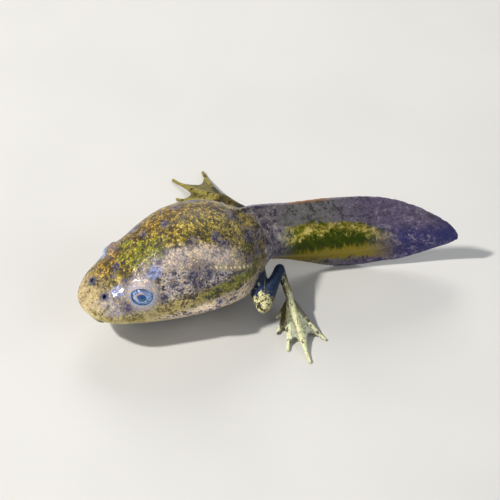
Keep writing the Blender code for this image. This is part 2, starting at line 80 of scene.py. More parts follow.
# Distance behind the snout as a share of the body's length, then half the width as a share
# of half the body's width, and top and bottom over the floor as shares of the body's height.
BODY_PROFILE = (
    (0.0, 0.50, 0.51, 0.34),
    (0.09, 0.56, 0.55, 0.27),
    (0.165, 0.64, 0.63, 0.22),
    (0.24, 0.72, 0.72, 0.15),
    (0.29, 0.77, 0.79, 0.1),
    (0.435, 0.91, 0.95, 0.01),
    (0.575, 1.00, 1.01, -0.02),
    (0.757, 0.94, 0.95, -0.025),
    (0.86, 0.65, 0.84, 0.03),
    (0.94, 0.46, 0.73, 0.125),
    (1.0, 0.32, 0.62, 0.195),
)
# The same for the tail's muscle, placed behind the body as a share of the muscle's length.
MUSCLE_PROFILE = (
    (0.06, 0.29, 0.575, 0.19),
    (0.18, 0.235, 0.52, 0.165),
    (0.36, 0.18, 0.475, 0.155),
    (0.62, 0.115, 0.43, 0.20),
    (0.85, 0.055, 0.385, 0.265),
    (1.00, 0.03, 0.35, 0.30),
)
# Place behind the body as a share of the tail's length, then the upper and the lower fin's
# edge over the floor as shares of the fins' full height.
FIN_PROFILE = (
    (-0.24, 1.08, 0.26),
    (-0.12, 1.06, 0.24),
    (0.00, 1.01, 0.19),
    (0.10, 0.99, 0.155),
    (0.20, 1.005, 0.10),
    (0.30, 1.03, 0.035),
    (0.40, 1.04, -0.005),
    (0.50, 1.03, 0.022),
    (0.60, 0.99, 0.072),
    (0.70, 0.925, 0.10),
    (0.80, 0.83, 0.16),
    (0.88, 0.72, 0.225),
    (0.95, 0.605, 0.285),
    (1.00, 0.515, 0.335),
)
TAIL_SWING = math.radians(24)
TAIL_TIP_SWING = math.radians(27)
TAIL_SWING_START = 0.86 * BODY_LENGTH
TAIL_SWING_REACH = 0.26 * BODY_LENGTH
FIN_STARTS = {True: -0.2, False: 0.0}
FIN_ROOT_THICKNESS = 1.0 * MM
FIN_SUNK = 1.2 * MM
FIN_RIPPLE = 0.2 * MM
FIN_RIPPLE_LENGTH = 16 * MM
FIN_LEAST_HEIGHT = 0.3 * MM
FIN_TIP_ROUNDING = 2 * MM
FINS_FROM = 27 * MM
FIN_FIELD_START = -0.25
FIN_FIELD_HALF = 2.2 * MM
FINE_NICK_LENGTH = 0.31 * MM
COARSE_NICK_LENGTH = 0.83 * MM
SHEET_GROUP = "thickness"

EYE_RADIUS = 2.1 * MM
EYE_BEHIND = 9.3 * MM
EYE_AROUND = math.radians(40)
EYE_STANDS_OUT = 0.8 * MM
EYE_LOOKS_UP = -0.35
EYE_CLEARANCE = 0.03 * MM
CORNEA_BULGE = 0.12 * MM
SOCKET_CLEARANCE = 0.06 * MM
LID_THICKNESS = 0.22 * MM
EYE_OPENING_WIDTH = 3.65 * MM
EYE_OPENING_HEIGHT = 2.7 * MM
NOSTRIL_BEHIND = 4.3 * MM
NOSTRIL_AROUND = math.radians(67)
NOSTRIL_RADIUS = 0.36 * MM
NOSTRIL_RIM_RADIUS = 1.3 * NOSTRIL_RADIUS
NOSTRIL_RIM = 0.17 * MM
MOUTH_BEHIND = 3.7 * MM
MOUTH_WIDTH = 4.2 * MM
MOUTH_HEIGHT = 2.5 * MM
LIP_THICKNESS = 0.45 * MM
BEAK_HALF_WIDTH = 0.2 * MOUTH_WIDTH
BEAK_RADIUS = 0.24 * MM
BEAK_TIP_RADIUS = 0.11 * MM
SPIRACLE_BEHIND = 20.3 * MM
SPIRACLE_LENGTH = 4.2 * MM
SPIRACLE_AROUND = math.radians(187)
SPIRACLE_RADIUS = 0.8 * MM
# Share of the breathing tube's length, then how far its middle stands over the skin in radii.
SPIRACLE_RISE = ((0, -0.9), (0.35, -0.35), (0.7, 0.1), (1, 0.35))
VENT_RADIUS = 0.65 * MM
# Behind the body's end, to the right of the spine, and over the trunk's lowest line, in millimetres.
VENT_PATH = ((-3.0, 0.1, 1.0), (-1.0, 0.7, 0.1), (0.7, 1.35, -0.55))

# Hip, knee, heel and ankle of each leg, in millimetres from the middle of the body's spine.
LEG_JOINTS = {
    "left": ((13.1, -2.1, 6.0), (9.9, -12.6, 6.0), (16.3, -6.4, 6.0), (15.6, -11.0, 4.0)),
    "right": ((13.1, 2.1, 6.0), (10.8, 13.2, 4.5), (18.9, 8.6, 5.0), (17.4, 15.3, 4.0)),
}
# Each limb's share of its length, then aside, rise and radius in millimetres.
THIGH_SHAPE = ((0, 0, 0, 2.1), (0.3, 0, 0.1, 2.0), (0.6, 0, 0.1, 1.65), (0.85, 0, 0, 1.38), (1, 0, 0, 1.3))
SHANK_SHAPE = ((0, 0, 0, 1.25), (0.2, 0.1, 0, 1.3), (0.45, 0.1, 0, 1.2), (0.75, 0, 0, 0.92), (1, 0, 0, 0.84))
TARSUS_SHAPE = ((0, 0, 0, 0.82), (0.5, 0, 0, 0.66), (0.85, 0, 0, 0.7), (1, 0, 0, 0.66))
FOOT_HEADING = {"left": math.radians(103), "right": math.radians(106)}
# Each toe from the first: its turn from the fourth toe in degrees, and its reach in millimetres.
TOES = {
    "left": ((60, 2.9), (39, 5.0), (18, 8.5), (0, 11.6), (-27, 8.3)),
    "right": ((60, 2.9), (41, 5.4), (20, 8.4), (0, 11.9), (-27, 10.9)),
}
TOE_RADIUS = 0.47 * MM
TOE_TIP_RADIUS = 0.27 * MM
TOE_TIP_HEIGHT = 0.28 * MM
FIRST_TOE_TIP_HEIGHT = 1.4 * MM
FOOT_SLOPE = 1.5
WEB_START = 0.1
WEB_REACH = 0.93
WEB_NOTCH = 0.27
WEB_SAG = 0.16 * MM

# Marks of the skin: how far behind the snout in millimetres, how far around the spine in
# degrees, and the radius in millimetres.
DARK_MARKS = (
    (7.8, 84, 0.8), (6.8, 93, 0.5), (4.2, 76, 0.5), (13.2, 117, 0.6), (8.2, 115, 0.8),
    (14.0, 146, 0.7), (12.0, 157, 0.8), (6.5, 150, 0.9), (19.2, 114, 0.8), (23.2, 118, 1.0),
    (17.0, 82, 0.8), (17.0, 147, 1.0), (20.0, 144, 1.0), (24.0, 126, 0.9), (27.5, 149, 1.1),
    (29.2, 127, 1.4), (30.0, 148, 1.1), (34.0, 99, 1.5), (13.5, 76, 0.7), (28.0, 97, 1.2),
    (9.4, 44, 0.8), (14.0, 50, 1.1), (19.0, 36, 1.2), (24.0, 58, 1.1), (27.0, 32, 1.4),
    (30.5, 62, 1.2), (12.5, 22, 0.9), (17.0, 12, 1.0), (20.5, 66, 0.8), (31.5, 40, 1.3),
    (31.5, 128, 1.2), (18.2, 142, 0.9), (19.6, 150, 0.8), (17.6, 156, 0.9),
)
BLUE_MARKS = ((11.9, 124, 1.2), (6.0, 120, 0.9), (13.5, 46, 0.8))
GREEN_MARKS = (
    (12.2, 88, 1.5), (12.8, 101, 2.0), (14.0, 110, 1.1), (9.5, 82, 1.0), (10.6, 98, 1.4), (11.0, 66, 1.2),
    (23.5, 168, 1.3), (26.5, 162, 1.0), (28.0, 138, 0.9),
)

SPINE_STEP = 0.25 * MM
WELD = 0.001 * MM
LEAST_HALF = 0.1 * MM
END_TURNS = (math.radians(30), math.radians(60), math.radians(80))
CHUNK = 20000

# The picture: its width at the animal, and where it places the middle of the body.
PICTURE_WIDTH = 80.5 * MM
BODY_MIDDLE = Vector((0.23, 0, 8.2)) * MM
BODY_LEFT_OF_CENTRE = 12.36 * MM
BODY_UNDER_CENTRE = 2.9 * MM
LAMPS_AIM = Vector((0, 0, 5)) * MM
SKY_COLOUR = (0.86, 0.9, 1.0, 1)
SKY_STRENGTH = 0.25


# Shapes shared by the skin, the eyes and the beaks


def smooth_between(rows, at):
    """The values of a table of rows at a place between them, on a smooth curve."""
    rows = [rows[0], *rows, rows[-1]]
    place = 1
    while place < len(rows) - 3 and at >= rows[place + 1][0]:
        place += 1
    before, start, end, after = rows[place - 1 : place + 3]
    span = end[0] - start[0]
    share = min(max((at - start[0]) / span, 0.0), 1.0)
    values = []
    for column in range(1, len(start)):
        slope_in = (end[column] - before[column]) / (end[0] - before[0]) * span
        slope_out = (after[column] - start[column]) / (after[0] - start[0]) * span
        values.append(
            start[column] * (2 * share**3 - 3 * share**2 + 1)
            + slope_in * (share**3 - 2 * share**2 + share)
            + end[column] * (3 * share**2 - 2 * share**3)
            + slope_out * (share**3 - share**2)
        )
    return values


def ease(share):
    """0 to 1 with a level start and end."""
    share = min(max(share, 0.0), 1.0)
    return share * share * (3 - 2 * share)


def model_origin():
    """The point of the frame under the middle of the body's spine, worked out from the frame."""
    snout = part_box("head")[0].x
    eyes = [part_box(f"eye_{side}") for side in SIDES]
    middle = sum((low.y + high.y) / 2 for low, high in eyes) / 2
    return Vector((snout - SNOUT_START + BODY_LENGTH / 2, middle, 0))


ORIGIN = model_origin()


def walk_spine():
    """Points of the spine over the floor, SPINE_STEP apart, with the way back at each."""
    points = []
    place = ORIGIN - Vector((BODY_LENGTH / 2, 0, 0))
    for step in range(int((BODY_LENGTH + TAIL_LENGTH) / SPINE_STEP) + 2):
        behind = step * SPINE_STEP
        swing = TAIL_SWING * ease((behind - TAIL_SWING_START) / TAIL_SWING_REACH)
        swing += (TAIL_TIP_SWING - TAIL_SWING) * ease((behind - BODY_LENGTH) / TAIL_LENGTH)
        back = Vector((math.cos(swing), -math.sin(swing), 0))
        points.append((place.copy(), back))
        place += back * SPINE_STEP
    return points


SPINE = walk_spine()
TRUNK_PROFILE = [
    (BODY_LENGTH * share, *sizes) for share, *sizes in BODY_PROFILE
] + [(BODY_LENGTH + MUSCLE_LENGTH * share, *sizes) for share, *sizes in MUSCLE_PROFILE]


def spine_at(behind):
    """The spine's point over the floor, the way back, and the way to the animal's right."""
    steps = min(max(behind / SPINE_STEP, 0.0), len(SPINE) - 1.001)
    first = int(steps)
    place = SPINE[first][0].lerp(SPINE[first + 1][0], steps - first)
    back = SPINE[first][1].lerp(SPINE[first + 1][1], steps - first).normalized()
    return place, back, UP.cross(back)


def round_off(left, length, power=2.0):
    """How far a form has swollen at a distance from its rounded end, from 0 to 1."""
    return math.sqrt(max(1 - max(1 - left / length, 0.0) ** power, 0.0))


def section_at(behind):
    """Half the width, the middle's height, and the rise and drop from it, of the trunk."""
    half, top, bottom = smooth_between(TRUNK_PROFILE, behind)
    half, top, bottom = half * BODY_WIDTH / 2, top * BODY_HEIGHT, bottom * BODY_HEIGHT
    middle = bottom + 0.46 * (top - bottom)
    rounding = round_off(behind - SNOUT_START, SNOUT_ROUNDING, 2.2)
    rounding *= round_off(TRUNK_LENGTH - behind, MUSCLE_END_ROUNDING)
    return half * rounding, middle, (top - middle) * rounding, (middle - bottom) * rounding


def trunk_point(behind, around):
    """A point of the skin of the body or of the tail's muscle."""
    half_width, middle, rise, drop = section_at(behind)
    place, _, right = spine_at(behind)
    sideways, upward = math.cos(around), math.sin(around)
    height = (rise if upward > 0 else drop) * upward
    sideways *= 1 - BELLY_PINCH * min(upward, 0.0) ** 2
    return place + right * half_width * sideways + UP * (middle + height)


def trunk_normal(behind, around):
    """The way out of the skin at a point."""
    step = 0.2 * MM
    along = trunk_point(behind + step, around) - trunk_point(behind - step, around)
    turned = trunk_point(behind, around + 0.05) - trunk_point(behind, around - 0.05)
    return turned.cross(along).normalized()


def on_side(side, around):
    """An angle about the spine, mirrored for the left side."""
    return around if side == "right" else math.pi - around


def eye_place(side):
    """An eye's centre and the way it looks."""
    around = on_side(side, EYE_AROUND)
    outward = trunk_normal(EYE_BEHIND, around)
    return trunk_point(EYE_BEHIND, around) - outward * (EYE_RADIUS - EYE_STANDS_OUT), outward


def eye_axis(side):
    """The way an eye faces, turned up a little from the skin under it."""
    return (eye_place(side)[1] + UP * EYE_LOOKS_UP).normalized()


def nostril_place(side):
    """A nostril's place on the skin, and the way out of it."""
    around = on_side(side, NOSTRIL_AROUND)
    return trunk_point(NOSTRIL_BEHIND, around), trunk_normal(NOSTRIL_BEHIND, around)


def mouth_place():
    """The mouth's place under the snout, and the way out of it."""
    down = -math.pi / 2
    return trunk_point(MOUTH_BEHIND, down), trunk_normal(MOUTH_BEHIND, down)


def add_object(name, data):
    """A new object in the scene."""
    obj = bpy.data.objects.new(name, data)
    bpy.context.scene.collection.objects.link(obj)
    return obj


def mesh_object(name, shape):
    """An object in the scene from a bmesh, which is used up."""
    mesh = bpy.data.meshes.new(name)
    shape.to_mesh(mesh)
    shape.free()
    return add_object(name, mesh)


def evaluated_mesh(obj):
    """The mesh that an object's curve or modifiers give."""
    graph = bpy.context.evaluated_depsgraph_get()
    return bpy.data.meshes.new_from_object(obj.evaluated_get(graph))


def smooth_faces(obj):
    """Shades an object without facets."""
    for face in obj.data.polygons:
        face.use_smooth = True


def facing(axis):
    """The turn that points a form's own z axis along an axis."""
    return axis.to_track_quat("Z", "Y").to_matrix()


def face_outward(shape):
    """Turns the faces of a closed form to its outside."""
    bmesh.ops.recalc_face_normals(shape, faces=shape.faces)
    if shape.calc_volume(signed=True) < 0:
        bmesh.ops.reverse_faces(shape, faces=shape.faces)


def reshaped_sphere(name, rings, spokes, place):
    """A sphere whose points go to place(along, around), along from 0 at one pole to 1."""
    shape = bmesh.new()
    bmesh.ops.create_uvsphere(shape, u_segments=spokes, v_segments=rings, radius=1)
    for point in shape.verts:
        along = math.acos(min(max(-point.co.z, -1), 1)) / math.pi
        point.co = place(along, math.atan2(point.co.y, point.co.x))
    face_outward(shape)
    return mesh_object(name, shape)


def ball(name, centre, axis, size, rings=20, spokes=28):
    """An oval ball with its poles along the axis, and half sizes sideways, upright and along."""
    turn = facing(axis)

    def place(along, around):
        across = math.sin(along * math.pi)
        point = (across * math.cos(around), across * math.sin(around), -math.cos(along * math.pi))
        return centre + turn @ Vector([part * half for part, half in zip(point, size)])

    return reshaped_sphere(name, rings, spokes, place)


def ring(name, centre, axis, half_width, half_height, thickness):
    """An oval ring of round section about an axis."""
    bpy.ops.mesh.primitive_torus_add(
        major_radius=half_width, minor_radius=thickness, major_segments=36, minor_segments=12
    )
    obj = bpy.context.object
    obj.name = name
    turn = facing(axis).to_4x4()
    squash = Matrix.Diagonal((1, half_height / half_width, 1, 1))
    obj.data.transform(Matrix.Translation(centre) @ turn @ squash)
    return obj


def rounded_end(end, before):
    """Points and radii that round a tube off beyond its end, from the end outward."""
    centre, radius = Vector(end[:3]), end[3]
    outward = (centre - Vector(before[:3])).normalized()
    return [
        (*(centre + outward * radius * math.sin(turn)), radius * math.cos(turn))
        for turn in END_TURNS
    ]


def tube(name, stations, steps=5):
    """A round closed form along a smooth line of (point, radius), with rounded ends."""
    rows = [(place, *point, radius) for place, (point, radius) in enumerate(stations)]
    count = steps * (len(rows) - 1)
    path = [smooth_between(rows, step / steps) for step in range(count + 1)]
    path = [*reversed(rounded_end(path[0], path[1])), *path, *rounded_end(path[-1], path[-2])]
    curve = bpy.data.curves.new(name, "CURVE")
    curve.dimensions = "3D"
    curve.bevel_depth = 1
    curve.bevel_resolution = 6
    curve.use_fill_caps = True
    spline = curve.splines.new("POLY")
    spline.points.add(len(path) - 1)
    for point, (x, y, z, radius) in zip(spline.points, path):
        point.co = (x, y, z, 1)
        point.radius = radius
    obj = add_object(name, curve)
    shape = bmesh.new()
    shape.from_mesh(evaluated_mesh(obj))
    bmesh.ops.remove_doubles(shape, verts=shape.verts, dist=WELD)
    face_outward(shape)
    bpy.data.objects.remove(obj)
    return mesh_object(name, shape)


def apply_modifiers(obj):
    """Turns what an object's modifiers give into its mesh."""
    mesh = evaluated_mesh(obj)
    obj.modifiers.clear()
    obj.data = mesh


def thicken(obj, thickness, edge_share=1.0):
    """Makes a sheet solid. It thins to edge_share where its group of points weighs nothing."""
    sheet = obj.modifiers.new("thickness", "SOLIDIFY")
    sheet.thickness = thickness
    sheet.offset = 0
    if edge_share < 1:
        sheet.vertex_group = SHEET_GROUP
        sheet.thickness_vertex_group = edge_share
    apply_modifiers(obj)


def combine(obj, others, operation):
    """Fuses the other objects with this one, or cuts them out of it, and removes them."""
    group = bpy.data.collections.new("tools")
    for other in others:
        group.objects.link(other)
    change = obj.modifiers.new("combine", "BOOLEAN")
    change.operation = operation
    change.operand_type = "COLLECTION"
    change.collection = group
    apply_modifiers(obj)
    for other in others:
        bpy.data.objects.remove(other)
    bpy.data.collections.remove(group)


# The skin's forms, before they are grown together


def trunk(rings=200, spokes=144):
    """The body and the tail's muscle as one round form, with brows and a fold on each flank."""
    sizes = tadpole()
    eyes = [(eye_place(side)[0], eye_axis(side)) for side in SIDES]

    def place(along, around):
        eased = (1 - math.cos(along * math.pi)) / 2
        share = (0.55 * along + 0.45 * eased) ** 1.1
        behind = SNOUT_START + (TRUNK_LENGTH - SNOUT_START) * share
        point = trunk_point(behind, around)
        for eye, axis in eyes:
            away = point - eye
            near = math.exp(-((away.length / (1.3 * EYE_RADIUS)) ** 4))
            point = point + (away.normalized() + axis).normalized() * sizes.brow * near
        turned = math.degrees(abs((around - math.pi / 2 + math.pi) % (2 * math.pi) - math.pi))
        off_fold = turned - flank_line_at(behind / MM)
        along_flank = ease((behind / MM - 8) / 5) * ease((32 - behind / MM) / 5)
        fold = sizes.flank_fold * math.exp(-((off_fold / 6) ** 2)) * along_flank
        return point + trunk_way_out(behind, around) * fold

    return reshaped_sphere("trunk", rings, spokes, place)


def trunk_way_out(behind, around):
    """Roughly the way out of the skin, square to the spine."""
    return spine_at(behind)[2] * math.cos(around) + UP * math.sin(around)


def flank_line_at(behind_mm):
    """How far down from the back's top the flank's fold lies, in degrees."""
    return 76 - 12 * ease((behind_mm - 14) / 13)


def face_forms():
    """Raised rims and lips for the head, and the cutters of its openings."""
    raised = []
    cutters = []
    lids = EYE_RADIUS + LID_THICKNESS
    for side in SIDES:
        centre = eye_place(side)[0]
        axis = eye_axis(side)
        raised.append(ball("lids", centre, axis, (lids, lids, lids), 32, 48))
        cutters.append(ball("socket", centre, axis, (EYE_RADIUS + SOCKET_CLEARANCE,) * 3, 32, 48))
        opening = (EYE_OPENING_WIDTH / 2, EYE_OPENING_HEIGHT / 2, 0.9 * EYE_RADIUS)
        cutters.append(ball("opening", centre + axis * EYE_RADIUS, axis, opening, 32, 48))
        point, outward = nostril_place(side)
        raised.append(ring("nostril_rim", point, outward, *(NOSTRIL_RIM_RADIUS,) * 2, NOSTRIL_RIM))
        pit = (NOSTRIL_RADIUS, NOSTRIL_RADIUS, 2.2 * NOSTRIL_RADIUS)
        cutters.append(ball("pit", point, outward, pit))
    point, outward = mouth_place()
    raised.append(ring("lips", point, outward, MOUTH_WIDTH / 2, MOUTH_HEIGHT / 2, LIP_THICKNESS))
    hollow = (0.36 * MOUTH_WIDTH, 0.33 * MOUTH_HEIGHT, 0.7 * MM)
    cutters.append(ball("mouth_hollow", point + outward * 0.25 * MM, outward, hollow))
    return raised, cutters


def spiracle_stations():
    """Points and radii of the breathing tube, from front to rear."""
    stations = []
    for share, raised in SPIRACLE_RISE:
        behind = SPIRACLE_BEHIND - (1 - share) * SPIRACLE_LENGTH
        around = SPIRACLE_AROUND - math.radians(4) * share
        outward = trunk_normal(behind, around)
        point = trunk_point(behind, around) + outward * raised * SPIRACLE_RADIUS
        stations.append((point, SPIRACLE_RADIUS * (1 - 0.15 * share)))
    return stations


def vent_stations():
    """Points and radii of the vent's tube, from front to rear."""
    stations = []
    for behind, aside, rise in VENT_PATH:
        place, _, right = spine_at(BODY_LENGTH + behind * MM)
        _, middle, _, drop = section_at(BODY_LENGTH + behind * MM)
        point = place + right * aside * MM + UP * (middle - drop + rise * MM)
        stations.append((point, VENT_RADIUS))
    return stations


def opening_at_end(stations, radius):
    """The mouth of the bore at the rear end of a short tube."""
    end = stations[-1][0]
    return end + (end - stations[-2][0]).normalized() * 0.7 * radius


def bore(stations, radius):
    """A cutter for the bore at the rear end of a short tube."""
    back = (stations[-1][0] - stations[-2][0]).normalized()
    size = (0.55 * radius, 0.55 * radius, 1.7 * radius)
    return ball("bore", opening_at_end(stations, radius), back, size)


def whole_trunk():
    """The trunk with its face, breathing tube and vent, and all their openings cut."""
    obj = trunk()
    raised, cutters = face_forms()
    for stations, radius in ((spiracle_stations(), SPIRACLE_RADIUS), (vent_stations(), VENT_RADIUS)):
        raised.append(tube("short_tube", stations))
        cutters.append(bore(stations, radius))
    combine(obj, raised, "UNION")
    combine(obj, cutters, "DIFFERENCE")
    return obj


def fin_root(behind, upper):
    """The height of the trunk's upper or lower line, where a fin stands."""
    _, middle, rise, drop = section_at(min(behind, TRUNK_LENGTH))
    return middle + rise if upper else middle - drop


def fin_edge(share, upper):
    """The height of a fin's edge, never below the floor or inside the trunk."""
    root = fin_root(BODY_LENGTH + share * TAIL_LENGTH, upper)
    edge = smooth_between(FIN_PROFILE, share)[0 if upper else 1] * FIN_HEIGHT
    edge = root + (edge - root) * round_off((1 - share) * TAIL_LENGTH, FIN_TIP_ROUNDING)
    if upper:
        return max(edge, root + FIN_LEAST_HEIGHT)
    return max(min(edge, root - FIN_LEAST_HEIGHT), 0.02 * MM)


def fin(name, upper, columns=150, rows=22):
    """A thin sheet from inside the trunk to the fin's edge, thinner towards its edge."""
    sizes = tadpole()
    start = FIN_STARTS[upper]
    shape = bmesh.new()
    bmesh.ops.create_grid(shape, x_segments=columns, y_segments=rows, size=1)
    weights = {}
    for point in shape.verts:
        share = start + (1 - start) * (1 - (1 - (point.co.x + 1) / 2) ** 1.3)
        up = (point.co.y + 1) / 2
        behind = BODY_LENGTH + share * TAIL_LENGTH
        place, _, right = spine_at(behind)
        sunk = min(FIN_SUNK, 0.15 * MM + 0.8 * section_at(min(behind, TRUNK_LENGTH))[2])
        root = fin_root(behind, upper) + (-sunk if upper else sunk)
        edge = fin_edge(share, upper)
        nicks = math.sin(behind / FINE_NICK_LENGTH) * math.sin(behind / COARSE_NICK_LENGTH + 1)
        edge += sizes.fin_nicks * nicks * ease((share - 0.45) * 4) * (1 if upper else 0)
        wave = math.sin(2 * math.pi * share * TAIL_LENGTH / FIN_RIPPLE_LENGTH)
        ripple = FIN_RIPPLE * wave * ease(share * 2) * up**2 * (1 if upper else -1)
        point.co = place + right * ripple + UP * (root + (edge - root) * up)
        weights[point.index] = (1 - up) ** 0.8
    bmesh.ops.triangulate(shape, faces=shape.faces)
    obj = mesh_object(name, shape)
    group = obj.vertex_groups.new(name=SHEET_GROUP)
    for index, weight in weights.items():
        group.add([index], weight, "REPLACE")
    thicken(obj, FIN_ROOT_THICKNESS, sizes.fin_edge_thickness / FIN_ROOT_THICKNESS)
    return obj


def joints_of(side):
    """Hip, knee, heel and ankle of a leg."""
    return [ORIGIN + Vector(joint) * MM for joint in LEG_JOINTS[side]]


def limb(name, start, end, rows):
    """A limb from start to end through rows of (share, aside, rise, radius in millimetres)."""
    along = (end - start).normalized()
    across = UP.cross(along).normalized()
    stations = []
    for share, aside, rise, radius in rows:
        point = start.lerp(end, share) + across * aside * MM + UP * rise * MM
        stations.append((point, radius * MM))
    return tube(name, stations)


def toe_line(side, toe):
    """A function that gives a toe's middle line from the ankle, at 0, to its tip, at 1."""
    turn, reach = TOES[side][toe]
    ankle = joints_of(side)[3]
    heading = FOOT_HEADING[side] + math.radians(turn)
    way = Vector((math.cos(heading), SIDES[side] * math.sin(heading), 0))
    tip_height = FIRST_TOE_TIP_HEIGHT if toe == 0 else TOE_TIP_HEIGHT

    def point(share):
        over_floor = Vector((ankle.x, ankle.y, 0)) + way * reach * MM * share
        height = tip_height + (ankle.z - tip_height) * (1 - share) ** FOOT_SLOPE
        return over_floor + UP * height

    return point


def web(side, lines, columns=14, rows=26):
    """The sheet of skin between the toes, with a notch between each pair."""
    shape = bmesh.new()
    across_all = columns * (len(lines) - 1)
    bmesh.ops.create_grid(shape, x_segments=across_all, y_segments=rows, size=1)
    for vertex in shape.verts:
        across = round((vertex.co.x + 1) / 2 * across_all) / columns
        first = min(int(across), len(lines) - 2)
        between = across - first
        reach = WEB_REACH - WEB_NOTCH * math.sin(math.pi * between) ** 0.8
        share = WEB_START + (reach - WEB_START) * (vertex.co.y + 1) / 2
        sag = WEB_SAG * math.sin(math.pi * between) * share
        vertex.co = lines[first](share).lerp(lines[first + 1](share), between) + UP * sag
    bmesh.ops.triangulate(shape, faces=shape.faces)
    obj = mesh_object("web", shape)
    thicken(obj, tadpole().web_thickness)
    return obj


def toe(line, first):
    """One toe with its knuckles, thinner towards the tip."""
    stations = []
    for step in range(9):
        share = step / 8
        knuckle = 1 + 0.1 * math.cos(share * 3 * 2 * math.pi) * share
        radius = (TOE_RADIUS + (TOE_TIP_RADIUS - TOE_RADIUS) * share) * knuckle
        stations.append((line(share), radius * (0.9 if first else 1)))
    return tube("toe", stations, 3)


def leg(side):
    """The forms of a folded hind leg: thigh, shank, tarsus, toes and web."""
    hip, knee, heel, ankle = joints_of(side)
    lines = [toe_line(side, number) for number in range(5)]
    forms = [
        limb("thigh", hip, knee, THIGH_SHAPE),
        limb("shank", knee, heel, SHANK_SHAPE),
        limb("tarsus", heel, ankle, TARSUS_SHAPE),
        web(side, lines),
    ]
    forms += [toe(line, number == 0) for number, line in enumerate(lines)]
    return forms


def grow_together(forms, cell, smoothing):
    """One closed skin over all the forms, with the lines where they meet softened."""
    shape = bmesh.new()
    for form in forms:
        shape.from_mesh(form.data)
        bpy.data.objects.remove(form)
    obj = mesh_object("skin", shape)
    remesh = obj.modifiers.new("grow", "REMESH")
    remesh.mode = "VOXEL"
    remesh.voxel_size = cell
    remesh.use_smooth_shade = True
    soften = obj.modifiers.new("soften", "SMOOTH")
    soften.factor = 0.5
    soften.iterations = smoothing
    apply_modifiers(obj)
    keep_largest_and_flatten(obj)
    return obj


def keep_largest_and_flatten(obj):
    """Drops loose scraps, and sets what dips under the floor on it."""
    shape = bmesh.new()
    shape.from_mesh(obj.data)
    waiting = set(shape.verts)
    surfaces = []
    while waiting:
        front = [waiting.pop()]
        surface = set(front)
        while front:
            point = front.pop()
            for edge in point.link_edges:
                other = edge.other_vert(point)
                if other in waiting:
                    waiting.discard(other)
                    surface.add(other)
                    front.append(other)
        surfaces.append(surface)
    largest = max(surfaces, key=len)
    rest = [point for point in shape.verts if point not in largest]
    bmesh.ops.delete(shape, geom=rest, context="VERTS")
    for point in shape.verts:
        point.co.z = max(point.co.z, 0.0)
    for face in shape.faces:
        face.smooth = True
    shape.to_mesh(obj.data)
    shape.free()


# Where each point of the skin lies, for its markings


def spine_places(points):
    """For each point, how far behind the snout and how far to the right of the spine it lies."""
    line = np.array([[*place.xy, *back.xy] for place, back in SPINE])
    behind = np.empty(len(points))
    aside = np.empty(len(points))
    for start in range(0, len(points), CHUNK):
        part = points[start : start + CHUNK]
        gap = (part[:, None, :2] - line[None, :, :2]) ** 2
        nearest = gap.sum(axis=2).argmin(axis=1)
        away = part[:, :2] - line[nearest, :2]
        way = line[nearest, 2:]
        behind[start : start + CHUNK] = nearest * SPINE_STEP + (away * way).sum(axis=1)
        aside[start : start + CHUNK] = away[:, 1] * way[:, 0] - away[:, 0] * way[:, 1]
    return behind, aside


def smooth_step(values, low, high):
    """0 below low, 1 above high, and smooth between, for many values."""
    share = np.clip((values - low) / (high - low), 0, 1)
    return share * share * (3 - 2 * share)


def trunk_fields(points):
    """Place along and around the spine, and place on the fins."""
    behind, aside = spine_places(points)
    height = points[:, 2]
    steps = np.arange(0, TRUNK_LENGTH + TAIL_LENGTH, SPINE_STEP)
    sections = np.array([section_at(min(step, TRUNK_LENGTH)) for step in steps])
    half, middle, rise, drop = (np.interp(behind, steps, column) for column in sections.T)
    up = height - middle
    level = up / np.maximum(np.where(up > 0, rise, drop), LEAST_HALF)
    half = half * (1 - BELLY_PINCH * np.clip(level, -1, 0) ** 2)
    outside = np.sqrt((aside / np.maximum(half, LEAST_HALF)) ** 2 + level**2) - 1
    outside = outside * np.minimum(half, (rise + drop) / 2)
    shares = np.linspace(FIN_FIELD_START, 1, 126)
    fin_share = np.zeros(len(points))
    fin_mask = np.zeros(len(points))
    for upper in (True, False):
        places = BODY_LENGTH + shares * TAIL_LENGTH
        edges = np.interp(behind, places, [fin_edge(share, upper) for share in shares])
        roots = np.interp(behind, places, [fin_root(place, upper) for place in places])
        sign = 1 if upper else -1
        beyond = (height - roots) * sign
        reach = np.maximum((edges - roots) * sign, 0.2 * MM)
        here = (beyond > 0) & (np.abs(aside) < FIN_FIELD_HALF) & (behind > FINS_FROM)
        fin_share = np.where(here, beyond / reach, fin_share)
        fin_mask = np.where(here, smooth_step(beyond, 0, 0.45 * MM), fin_mask)
    fin_mask = np.maximum(fin_mask, smooth_step(behind, TRUNK_LENGTH - 2 * MM, TRUNK_LENGTH))
    around = np.degrees(np.arctan2(level, aside / np.maximum(half, LEAST_HALF)))
    around = np.where(around < -90, around + 360, around)
    return behind, aside, around, outside, fin_mask, np.clip(fin_share, 0, 1)


def line_distance(points, line):
    """How far each point is from a line of points, and its place along the line, 0 to 1."""
    best = np.full(len(points), 1.0)
    place = np.zeros(len(points))
    last = len(line) - 1
    for number, (start, end) in enumerate(zip(line, line[1:])):
        way = end - start
        share = np.clip(((points - start) @ way) / (way @ way), 0, 1)
        away = np.linalg.norm(points - start - share[:, None] * way, axis=1)
        closer = away < best
        best = np.where(closer, away, best)
        place = np.where(closer, (number + share) / last, place)
    return best, place


# How far from a leg's middle line its skin lies, and how far from a toe's.
LIMB_FIELD_RADIUS = 1.3 * MM
FOOT_FIELD_RADIUS = 2.4 * MM
LEG_FIELDS = ("leg", "reach", "foot", "toe", "toe_share", "number")


